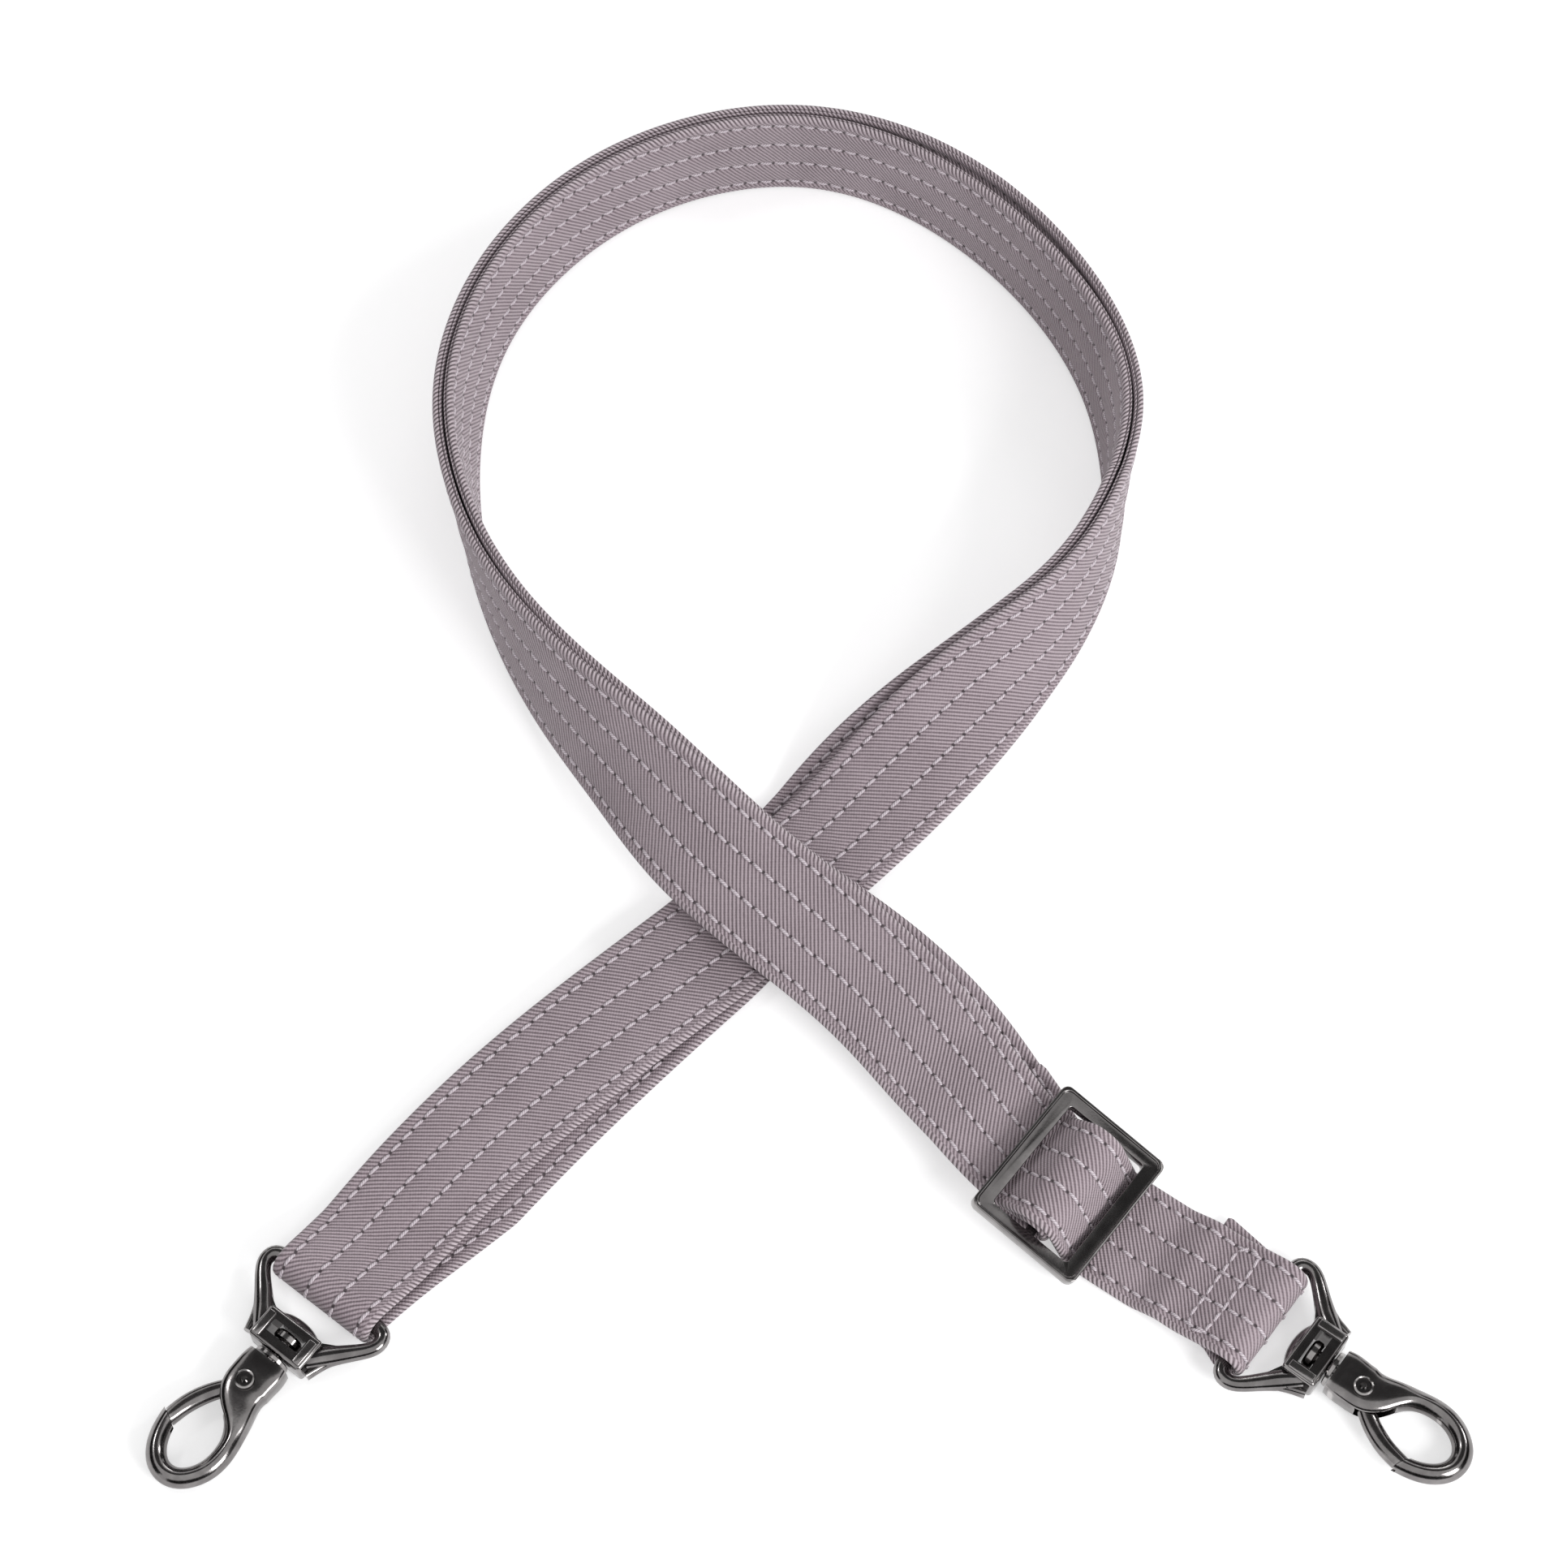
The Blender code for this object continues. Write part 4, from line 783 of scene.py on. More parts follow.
def gate(side):
    """The gate: a half-height barrel on the rivet, and an arm to the hook's nose."""
    stations = np.array(GATE_SHARES) * (HOOK_LENGTH, HOOK_LENGTH, GATE_HALF_WIDTH, GATE_HALF_HEIGHT, 1)
    stations[:, :2] -= (PIVOT_PLACE, PIVOT_SIDE)
    stations[0, :2] = unit(stations[0, :2]) * GATE_BARREL_RADIUS * GATE_ROOT_SHARE
    made = formed(f"{side}_gate", loft(stations, GATE_RINGS))
    low = -GATE_HALF_HEIGHT
    high = low + GATE_BARREL_HEIGHT
    join(made, rod_shape(GATE_BARREL_RADIUS, (0, 0, low), (0, 0, high)))
    ends = ((0, 0, low - CUT_OVERRUN), (0, 0, high + CUT_OVERRUN))
    cut(made, rod_shape(RIVET_RADIUS + ROUND_FIT, *ends, HOLE_SEGMENTS))
    pivot = Vector((0, 0, 0))
    cut(made, tip_trim(pivot, 1))
    join(made, tip_block(pivot, -TONGUE_REACH, TONGUE_REACH, TONGUE_HALF_WIDTH, TONGUE_HALF_HEIGHT))
    return made


def gate_spring(side):
    """The closing spring: a small coil round the rivet above the gate's barrel."""
    low = -GATE_HALF_HEIGHT + GATE_BARREL_HEIGHT + GAP + SPRING_WIRE_RADIUS
    turns = np.arange(SPRING_TURNS * SPRING_POINTS_PER_TURN + 1) / SPRING_POINTS_PER_TURN
    around = [SPRING_RADIUS * swing(2 * math.pi * turns) for swing in (np.cos, np.sin)]
    curve = bpy.data.curves.new(f"{side}_gate_spring", "CURVE")
    curve.dimensions = "3D"
    curve.bevel_depth = SPRING_WIRE_RADIUS
    curve.bevel_resolution = 3
    curve.use_fill_caps = True
    line = curve.splines.new("POLY")
    line.points.add(len(turns) - 1)
    points = np.column_stack([*around, low + SPRING_PITCH * turns, np.ones(len(turns))])
    line.points.foreach_set("co", points.ravel())
    return placed(f"{side}_gate_spring", curve, WORK)


def swivel_hook(side, route, place, way):
    """A whole swivel snap hook, seated in the strap's fold at a place, pointing out of the strap's end."""
    point, ahead, _, up = route.at(place)
    out = ahead * way
    seat = placed(f"{side}_hook_seat", None, WORK)
    stand = seated(point + up * FOLD_RADIUS, out, np.cross(up, out), up)
    seat.matrix_world = stand @ Matrix.Rotation(HOOK_DROOP, 4, "Y")
    hook = hook_body(side, bail(side, seat))
    stud(side).parent = hook
    for piece in (rivet(side), gate(side), gate_spring(side)):
        piece.parent = hook
        piece.location = PIVOT


# The photograph's camera, and the way from the route's own origin to the model's.
SHIFT = np.array((-0.00490475, -0.00047355, 0.00029876))
PHOTO_WIDTH = 1931
FOCAL_PIXELS = 5454.5
SENSOR = 36
CAMERA_DISTANCE = 0.90
CAMERA_ELEVATION = math.radians(63)

# The webbing
FINE_STEP = 0.0015
END_STEP = 0.0006
FACE_HEIGHT = 0.00104
SEAM_DIP = 0.00030
SWELL = 0.00010
PUCKER = 0.00005
SEAM_ROWS = (-0.786, -0.262, 0.262, 0.786)
SEAM_SPACING = SEAM_ROWS[2] - SEAM_ROWS[1]
END_RING_SHARE = 0.02
PEEP_SHARE = 0.5
PEEP_SLIP = 0.0024
SEAM_PITCH = SEAM_SPACING * STRAP_HALF_WIDTH
FLAT_SHARE = 0.900
FACE_POINTS = 40
HALF_GIRTH = 4 * SEAM_PITCH
EDGE_BAND_START = 0.0113
EDGE_BAND_REACH = 0.0009
STITCH_LENGTH = 0.0031
STITCH_GAP = 0.00040
STITCH_TILT = 0.00013
THREAD_RADIUS = 0.00029
THREAD_SIDES = 6
THREAD_FLATNESS = 1.15
BOX_ROWS = (0.0057, 0.0102)
BOX_HALF_SHARE = 0.86
BOX_STITCH_SHARE = 0.92
BOX_DENT = 0.00022
BOX_DENT_REACH = 0.0006
END_TAPER = 0.0010
END_THINNING = 0.45
END_NARROWING = 0.0004
DIP_SHARE = 0.10
PUCKER_SHORT = 0.0091
PUCKER_LONG = 0.0237
RIB_PITCH = 0.00076
RIB_ROUNDNESS = 0.7
RIB_HEIGHT = 0.00020
YARN_PITCH = RIB_PITCH * 0.7
SEAM_SHADE_REACH = 0.0007
HOLE_SHADE_REACH = 0.00048
TWIST_PITCH = 0.00052
TWIST_HEIGHT = 0.00008
THREAD_END_SHADE_REACH = 0.00035
GRAIN_HEIGHT = 0.00006
PUCKER_SLANTS = (5.0, 9.0)
PUCKER_SHARE = FLAT_SHARE - 0.01
STITCH_SEED = 11
STITCH_SHAKE = 0.003
RIB_ALONG = 0.766
RIB_ACROSS = -0.643
FOLD_REACH = 0.006
TAIL_SLIPS = ((0.002, 0.0), (0.005, 0.0014), (0.016, 0.0031))

# Colours: the fabric from between its ribs to their tops, with painted shade between the ribs and painted
# highlight on
# # their tops; the ribs of its folded edge, with stronger painted shade and highlight; painted shade along
# the seams, in
# # the needle holes and where the thread goes into them; the thread, with painted shade and highlight along
# its twist;
# # the metal, from painted shade in its corners to its worn edges.
FABRIC_TONE_AND_RIB_SHADE_STOPS = (
    (0.0, (0.170, 0.130, 0.147)),
    (0.45, (0.325, 0.262, 0.292)),
    (1.0, (0.475, 0.397, 0.433)),
)
EDGE_RIB_SHADE_STOPS = ((0.1, (0.085, 0.062, 0.070)), (0.9, (0.640, 0.555, 0.595)))
SEAM_SHADE_COLOUR = (0.200, 0.160, 0.175)
HOLE_SHADE_COLOUR = (0.045, 0.032, 0.038)
THREAD_TWIST_SHADE_STOPS = ((0.0, (0.42, 0.355, 0.395)), (1.0, (0.76, 0.69, 0.735)))
THREAD_END_SHADE_COLOUR = (0.06, 0.045, 0.055)
FABRIC_SHEEN = {
    "Roughness": 0.58,
    "Specular IOR Level": 0.35,
    "Sheen Weight": 0.18,
    "Sheen Roughness": 0.45,
}
THREAD_SHEEN = {"Roughness": 0.45, "Sheen Weight": 0.2}
METAL_STOPS = (
    (0.0, (0.085, 0.080, 0.080)),
    (0.40, (0.195, 0.185, 0.184)),
    (1.0, (0.50, 0.48, 0.475)),
)

# How strongly the noises and patterns show in the height, the colour and the roughness. A noise is given by
# its scale and detail.
FABRIC_FUZZ = (1500, 2)
FABRIC_CLOUD = (60, 3)
FUZZ_HEIGHT = 0.22
FUZZ_TONE = 0.45
CLOUD_TONE = 0.55
YARN_HEIGHT = 0.10
YARN_TONE = 0.06
# Painted shade and highlight on the ribs of the folded edge.
EDGE_RIB_SHADE_STRENGTH = 0.8
# Painted shade along the seams.
SEAM_SHADE_STRENGTH = 0.38
# Painted shade in the needle holes.
HOLE_SHADE_STRENGTH = 1.8
HOLE_SHADE_LIMIT = 0.9
TWIST_SLANT = 0.8
TWIST_STRENGTH = 0.6
METAL_CLOUD = (320, 4)
METAL_GRAIN = (2600, 3)
METAL_TONE = 0.35
METAL_CLOUD_TONE = 0.5
# Painted shade in corners, and brighter worn edges.
METAL_WEAR_AND_CORNER_SHADE_TONE = 4.0
METAL_ROUGHNESS = 0.08
CLOUD_ROUGHNESS = 0.10
GRAIN_ROUGHNESS = 0.06
GRAIN_STRENGTH = 0.10

# The studio: how strongly the sky lights the object, the floor, then the cards (name, centre, width, height,
# grey) and the lamps (name, place, power in watts, width, height), which all face the middle of the strap.
SKY_LIGHT = 0.52
FLOOR_DROP = 0.0002
FLOOR_SIDE = 6
FLOOR_GLOW = 0.45
FLOOR_COLOUR = (0.86, 0.86, 0.865, 1)
CARDS = (
    ("card_top", (0.05, 0.34, 1.00), 1.30, 0.80, 0.10),
    ("card_left", (-1.0, 0.1, 0.42), 1.7, 0.62, 0.02),
    ("card_right", (1.0, 0.1, 0.42), 1.7, 0.62, 0.02),
    ("card_back", (0, 1.20, 0.34), 1.8, 0.55, 0.03),
    ("card_front", (0, -1.1, 0.30), 1.8, 0.50, 0.02),
)
LAMPS = (
    ("key", (0.72, -0.78, 0.60), 8.2, 0.45, 0.45),
    ("fill", (-0.62, 0.20, 0.80), 0.8, 0.13, 0.13),
    ("side", (0.85, 0.30, 0.62), 1.6, 0.16, 0.16),
    ("rim", (0.20, 1.00, 0.62), 0.9, 0.50, 0.06),
)

# The folded edge of one layer, as share of the half width and height: a rounded roll, a groove, and a lip.
EDGE_SHAPE = (
    (0.935, 0.00096),
    (0.966, 0.00078),
    (0.988, 0.00050),
    (0.999, 0.00014),
    (0.992, -0.00016),
    (0.968, -0.00030),
    (0.932, -0.00034),
    (0.930, -0.00044),
    (0.960, -0.00052),
    (0.978, -0.00068),
    (0.966, -0.00086),
    (0.935, -0.00094),
)

# A stitch from needle hole to needle hole: place, thickness, and rise in thread radii.
STITCH_SHAPE = np.array((
    (0.00, 0.45, -1.60),
    (0.08, 0.85, -0.45),
    (0.25, 1.00, 0.30),
    (0.50, 1.06, 0.55),
    (0.75, 1.00, 0.30),
    (0.92, 0.85, -0.45),
    (1.00, 0.45, -1.60),
))


def new_material(name, values):
    """A material with some of its shader's inputs set, its tree and its shader."""
    made = bpy.data.materials.new(name)
    made.use_nodes = True
    tree = made.node_tree
    shader = tree.nodes["Principled BSDF"]
    for key, value in values.items():
        shader.inputs[key].default_value = value
    return made, tree, shader


def calc(tree, operation, a, b=None, c=None):
    """The output of a math node on sockets or plain numbers."""
    node = tree.nodes.new("ShaderNodeMath")
    node.operation = operation
    for socket, value in zip(node.inputs, (a, b, c)):
        if value is None:
            continue
        if isinstance(value, (int, float)):
            socket.default_value = value
        else:
            tree.links.new(value, socket)
    return node.outputs[0]


def noise(tree, vector, scale, detail):
    node = tree.nodes.new("ShaderNodeTexNoise")
    node.inputs["Scale"].default_value = scale
    node.inputs["Detail"].default_value = detail
    tree.links.new(vector, node.inputs["Vector"])
    return node.outputs[0]


def ramp(tree, factor, *stops):
    """A colour ramp from (place, colour) stops."""
    node = tree.nodes.new("ShaderNodeValToRGB")
    node.color_ramp.elements[0].position = stops[0][0]
    node.color_ramp.elements[0].color = (*stops[0][1], 1)
    node.color_ramp.elements[1].position = stops[-1][0]
    node.color_ramp.elements[1].color = (*stops[-1][1], 1)
    for place, colour in stops[1:-1]:
        node.color_ramp.elements.new(place).color = (*colour, 1)
    tree.links.new(factor, node.inputs[0])
    return node.outputs[0]


def blended(tree, factor, below, above):
    """Colour below where the factor is 0 and above where it is 1."""
    node = tree.nodes.new("ShaderNodeMix")
    node.data_type = "RGBA"
    tree.links.new(factor, node.inputs[0])
    for socket, value in ((node.inputs[6], below), (node.inputs[7], above)):
        if isinstance(value, tuple):
            socket.default_value = (*value, 1)
        else:
            tree.links.new(value, socket)
    return node.outputs[2]


def bumped(tree, shader, height, strength, distance):
    node = tree.nodes.new("ShaderNodeBump")
    node.inputs["Strength"].default_value = strength
    node.inputs["Distance"].default_value = distance
    tree.links.new(height, node.inputs["Height"])
    tree.links.new(node.outputs[0], shader.inputs["Normal"])


def wave(tree, value, pitch):
    return calc(tree, "SINE", calc(tree, "MULTIPLY", value, 2 * math.pi / pitch))


def varied(tree, cloud, amount, value):
    """A value that a noise raises and lowers."""
    return calc(tree, "MULTIPLY_ADD", calc(tree, "SUBTRACT", cloud, 0.5), amount, value)


def fading(tree, distance, reach, gain):
    """The gain where the distance is 0, and nothing at the reach and beyond."""
    near = calc(tree, "SUBTRACT", 1.0, calc(tree, "DIVIDE", distance, reach))
    return calc(tree, "MULTIPLY", calc(tree, "MAXIMUM", near, 0.0), gain)


def webbing_map(tree):
    """Distance along and round the webbing, and both as a vector."""
    uv = tree.nodes.new("ShaderNodeUVMap")
    uv.uv_map = "webbing"
    split = tree.nodes.new("ShaderNodeSeparateXYZ")
    tree.links.new(uv.outputs[0], split.inputs[0])
    return split.outputs[0], split.outputs[1], uv.outputs[0]


def fabric_material():
    """Dusty mauve twill: slanted ribs of twisted yarn, with painted shade between the ribs and painted
    highlight on their tops, painted shade along the seams, and needle holes painted dark as shade.
    """
    made, tree, shader = new_material("strap_fabric_look", FABRIC_SHEEN)
    along, across, both = webbing_map(tree)
    line = calc(tree, "MULTIPLY_ADD", along, RIB_ALONG, calc(tree, "MULTIPLY", across, RIB_ACROSS))
    rib = calc(tree, "MULTIPLY_ADD", wave(tree, line, RIB_PITCH), 0.5, 0.5)
    rib = calc(tree, "POWER", rib, RIB_ROUNDNESS)
    lay = calc(tree, "MULTIPLY", along, RIB_ACROSS)
    lay = calc(tree, "SUBTRACT", lay, calc(tree, "MULTIPLY", across, RIB_ALONG))
    yarn = wave(tree, lay, YARN_PITCH)
    fine = noise(tree, both, *FABRIC_FUZZ)
    wide = noise(tree, both, *FABRIC_CLOUD)
    height = calc(tree, "MULTIPLY_ADD", yarn, YARN_HEIGHT, rib)
    height = calc(tree, "MULTIPLY_ADD", fine, FUZZ_HEIGHT, height)
    bumped(tree, shader, height, 1.0, RIB_HEIGHT)
    # Painted shade and highlight: the colour is darker between the ribs and lighter on their tops, and it
    # follows the yarn; the two noises vary the tone at random.
    tone = varied(tree, fine, FUZZ_TONE, varied(tree, wide, CLOUD_TONE, rib))
    tone = calc(tree, "MULTIPLY_ADD", yarn, YARN_TONE, tone)
    colour = ramp(tree, tone, *FABRIC_TONE_AND_RIB_SHADE_STOPS)
    # Painted shade and highlight on the folded edge: its ribs get a darker and lighter colour than the face's
    # ribs.
    rim = calc(tree, "SUBTRACT", calc(tree, "PINGPONG", across, HALF_GIRTH / 2), EDGE_BAND_START)
    rim = calc(tree, "DIVIDE", calc(tree, "MAXIMUM", rim, 0.0), EDGE_BAND_REACH)
    rim = calc(tree, "MULTIPLY", calc(tree, "MINIMUM", rim, 1.0), EDGE_RIB_SHADE_STRENGTH)
    colour = blended(tree, rim, colour, ramp(tree, rib, *EDGE_RIB_SHADE_STOPS))
    # Painted shade: the colour darkens along each seam line.
    seam = calc(tree, "PINGPONG", calc(tree, "SUBTRACT", across, SEAM_PITCH / 2), SEAM_PITCH / 2)
    seam_shade = fading(tree, seam, SEAM_SHADE_REACH, SEAM_SHADE_STRENGTH)
    colour = blended(tree, seam_shade, colour, SEAM_SHADE_COLOUR)
    # Painted shade: a dark spot of colour at each needle hole.
    step = calc(tree, "PINGPONG", along, STITCH_LENGTH / 2)
    reach = calc(tree, "SQRT", calc(tree, "MULTIPLY_ADD", seam, seam, calc(tree, "MULTIPLY", step, step)))
    hole = calc(tree, "MINIMUM", fading(tree, reach, HOLE_SHADE_REACH, HOLE_SHADE_STRENGTH), HOLE_SHADE_LIMIT)
    colour = blended(tree, hole, colour, HOLE_SHADE_COLOUR)
    tree.links.new(colour, shader.inputs["Base Color"])
    return made


def thread_material():
    """Pale lilac sewing thread: two twisted strands, with painted shade and highlight along the twist and
    painted shade where it goes into its needle holes.
    """
    made, tree, shader = new_material("stitch_thread_look", THREAD_SHEEN)
    along, round_it, _ = webbing_map(tree)
    line = calc(tree, "ADD", along, calc(tree, "MULTIPLY", round_it, TWIST_SLANT))
    twist = calc(tree, "MULTIPLY_ADD", wave(tree, line, TWIST_PITCH), 0.5, 0.5)
    # Painted shade and highlight: the colour is darker and lighter along the twist of the strands.
    colour = ramp(tree, twist, *THREAD_TWIST_SHADE_STOPS)
    # Painted shade: the thread darkens where it goes into its needle holes.
    end = calc(tree, "PINGPONG", along, (STITCH_LENGTH - STITCH_GAP) / 2)
    colour = blended(tree, fading(tree, end, THREAD_END_SHADE_REACH, 1.0), colour, THREAD_END_SHADE_COLOUR)
    tree.links.new(colour, shader.inputs["Base Color"])
    bumped(tree, shader, twist, TWIST_STRENGTH, TWIST_HEIGHT)
    return made


def metal_material():
    """Dark polished nickel: fine wear, brighter on worn edges, and painted shade that darkens it in corners.
    """
    made, tree, shader = new_material("dark_nickel_look", {"Metallic": 1.0})
    coords = tree.nodes.new("ShaderNodeTexCoord").outputs["Object"]
    cloud = noise(tree, coords, *METAL_CLOUD)
    fine = noise(tree, coords, *METAL_GRAIN)
    place = tree.nodes.new("ShaderNodeNewGeometry")
    # Painted shade in corners: pointiness darkens the colour where the surface is hollow and brightens it on
    # worn edges.
    edge = varied(tree, place.outputs["Pointiness"], METAL_WEAR_AND_CORNER_SHADE_TONE, METAL_TONE)
    edge = varied(tree, cloud, METAL_CLOUD_TONE, edge)
    colour = ramp(tree, edge, *METAL_STOPS)
    tree.links.new(colour, shader.inputs["Base Color"])
    rough = calc(tree, "MULTIPLY_ADD", cloud, CLOUD_ROUGHNESS, METAL_ROUGHNESS)
    rough = calc(tree, "MULTIPLY_ADD", fine, GRAIN_ROUGHNESS, rough)
    tree.links.new(rough, shader.inputs["Roughness"])
    bumped(tree, shader, fine, GRAIN_STRENGTH, GRAIN_HEIGHT)
    return made


def refined(points, step):
    """The same line with no point twice and no segment longer than a step."""
    made = [points[0]]
    for after in points[1:]:
        before = made[-1]
        length = np.linalg.norm(after - before)
        if length < CLOSED_MERGE:
            continue
        count = max(1, math.ceil(length / step))
        made += [before + (after - before) * k / count for k in range(1, count + 1)]
    return made


def face_height(share, relief):
    """Height of a stitched face at a share of the half width: channels that swell between pressed seams."""
    turns = share / SEAM_SPACING - 0.5
    off = np.abs(turns - np.round(turns))
    dip = SEAM_DIP * np.exp(-((off / DIP_SHARE) ** 2))
    return FACE_HEIGHT - relief * (dip + SWELL * (1 - np.sin(math.pi * off)))


def webbing_ring():
    """Shares, heights and nominal distance round one layer's section, and how far each point swells."""
    shares = np.linspace(-FLAT_SHARE, FLAT_SHARE, FACE_POINTS + 1)
    edge = np.array(EDGE_SHAPE)
    outer = np.column_stack([shares, face_height(shares, 1.0)])
    ring = np.vstack([outer, edge, -outer, edge[::-1] * (-1, 1)])
    flat = shares * STRAP_HALF_WIDTH
    bend = HALF_GIRTH - 2 * flat[-1]
    turn = flat[-1] + bend * np.arange(1, len(edge) + 1) / (len(edge) + 1)
    girth = np.concatenate([flat, turn, HALF_GIRTH + flat, HALF_GIRTH + turn])
    level = np.zeros(len(edge))
    swell = np.concatenate([np.ones(len(outer)), level, -np.ones(len(outer)), level])
    return ring[:, 0], ring[:, 1], girth, swell


class Stretch:
    """A stretch of webbing: its middle line, its directions, and the distance along the webbing."""

    TRACKS = ("middle", "across", "face", "half", "slip", "along", "relief")
    box = None

    def __init__(self, *tracks):
        for name, track in zip(self.TRACKS, tracks):
            setattr(self, name, track)

    def part(self, first, last):
        """The stretch between two of its rings, both included, and a ring close to each of the two."""
        made = []
        for name in self.TRACKS:
            rows = getattr(self, name)[first:last + 1]
            near_first = rows[:1] + END_RING_SHARE * (rows[1:2] - rows[:1])
            near_last = rows[-1:] + END_RING_SHARE * (rows[-2:-1] - rows[-1:])
            made.append(np.concatenate([rows[:1], near_first, rows[1:-1], near_last, rows[-1:]]))
        return Stretch(*made)

    def surface(self, along, share):
        """Height of the outer face, with the dent of the stitched box where there is one."""
        relief = np.interp(along, self.along, self.relief)
        height = face_height(share, relief)
        if self.box is not None:
            off = box_distance(self.box, along, share)
            height = height - BOX_DENT * np.exp(-((off / BOX_DENT_REACH) ** 2))
        turns = 2 * math.pi * along
        pucker = np.sin(turns / PUCKER_SHORT + share * PUCKER_SLANTS[0])
        pucker = pucker + np.sin(turns / PUCKER_LONG - share * PUCKER_SLANTS[1])
        return height + relief * PUCKER * pucker * (np.abs(share) < PUCKER_SHARE)

    def at(self, along, share, height):
        """Points on the stretch at distances along the webbing."""
        half = np.interp(along, self.along, self.half)
        tracks = (self.middle, self.across, self.face)
        middle, across, face = [sampled(along, self.along, track) for track in tracks]
        return middle + across * (half * share)[:, None] + face * height[:, None]


def whole_webbing(route, points, slips):
    """The one webbing from its hook end to its tail, so that its stretches meet without a seam."""
    points = np.array(points)
    slips = np.array(slips)
    headings = np.gradient(points, chord_knots(points), axis=0)
    base, ahead, across, outward = route.rows(points[:, 0])
    way = unit(ahead * headings[:, :1] + outward * headings[:, 1:])
    middle = base + outward * points[:, 1:] + across * slips[:, None] + SHIFT
    along = chord_knots(middle)
    bend = np.linalg.norm(np.gradient(way, axis=0), axis=1) / np.gradient(along)
    relief = 1 / (1 + (bend * FOLD_REACH) ** 2)
    return Stretch(middle, across, np.cross(across, way), route.width(points[:, 0]) / 2, slips, along, relief)


def box_sizes(box):
    """Middle and half length of the stitched box along the webbing, and half of its straight rows' length."""
    reach = (box[1] - box[0]) / 2
    return (box[0] + box[1]) / 2, reach, BOX_HALF_SHARE * STRAP_HALF_WIDTH - reach


def box_distance(box, along, share):
    """Distance from the outline of the stitched box, which has rounded ends."""
    middle, reach, straight = box_sizes(box)
    out = np.maximum(np.abs(share) * STRAP_HALF_WIDTH - straight, 0)
    return np.abs(np.hypot(along - middle, out) - reach)


def box_stitches(box):
    """Stitches round the box, each from one needle hole to the next."""
    middle, reach, straight = box_sizes(box)
    half_round = 2 * straight + math.pi * reach
    count = round(2 * half_round / (STITCH_LENGTH * BOX_STITCH_SHARE))

    def place(length):
        rounds, length = divmod(length, half_round)
        way = -1 if rounds % 2 else 1
        along, across = reach, length - straight
        if length > 2 * straight:
            turn = (length - 2 * straight) / reach
            along, across = reach * math.cos(turn), straight + reach * math.sin(turn)
        return middle + way * along, way * across / STRAP_HALF_WIDTH

    made = []
    for k in range(count):
        start, end = [2 * half_round * n / count for n in (k, k + 1)]
        made.append((*place(start + STITCH_GAP / 2), *place(end - STITCH_GAP / 2), 1))
    return made


def seam_stitches(stretch, sides):
    """Stitches of the four seams that lie between the ends of the stretch."""
    first = math.ceil(stretch.along[0] / STITCH_LENGTH - 0.5)
    last = math.floor(stretch.along[-1] / STITCH_LENGTH - 0.5)
    lean = STITCH_TILT / STRAP_HALF_WIDTH
    chance = np.random.default_rng(first + STITCH_SEED)
    made = []
    for row in SEAM_ROWS:
        for side in sides:
            for k in range(first, last + 1):
                shake = chance.normal(0, STITCH_SHAKE)
                start = max(k * STITCH_LENGTH + STITCH_GAP / 2, stretch.along[0])
                end = min((k + 1) * STITCH_LENGTH - STITCH_GAP / 2, stretch.along[-1])
                made.append((start, row - lean * side + shake, end, row + lean * side + shake, side))
    return made


def peeping_stitches(stretch):
    """Stitches of the inner face's outermost seam, where that edge shows beside the layer above."""
    def peeps(start, share):
        slip = float(np.interp(start, stretch.along, stretch.slip))
        return abs(share) > PEEP_SHARE and share * slip > 0 and abs(slip) > PEEP_SLIP

    return [stitch for stitch in seam_stitches(stretch, (-1,)) if peeps(*stitch[:2])]


def tube(along, rounds):
    """Faces and their UVs of a tube with a ring of points at each place along it, and a cap at both ends."""
    count = len(rounds) - 1
    k = np.arange(count)
    low = count * np.arange(len(along) - 1)[:, None] + k
    after = low - k + (k + 1) % count
    quads = np.stack([low, after, after + count, low + count], axis=2).reshape(-1, 4)
    uvs = np.empty((len(along) - 1, count, 4, 2))
    uvs[..., 0] = np.stack([along[:-1], along[:-1], along[1:], along[1:]], axis=1)[:, None]
    uvs[..., 1] = np.stack([rounds[:-1], rounds[1:], rounds[1:], rounds[:-1]], axis=1)
    start = np.column_stack([np.full(count, along[0]), rounds[-2::-1]])
    end = np.column_stack([np.full(count, along[-1]), rounds[:-1]])
    caps = [k[::-1].tolist(), (k + count * (len(along) - 1)).tolist()]
    return quads.tolist() + caps, np.vstack([uvs.reshape(-1, 2), start, end])


def mesh_piece(name, points, faces, uvs, finish):
    mesh = bpy.data.meshes.new(name)
    mesh.from_pydata(points.reshape(-1, 3).tolist(), [], faces)
    layer = mesh.uv_layers.new(name="webbing")
    layer.data.foreach_set("uv", np.asarray(uvs, np.float32).ravel())
    mesh.materials.append(finish)
    mesh.shade_smooth()
    return placed(name, mesh)


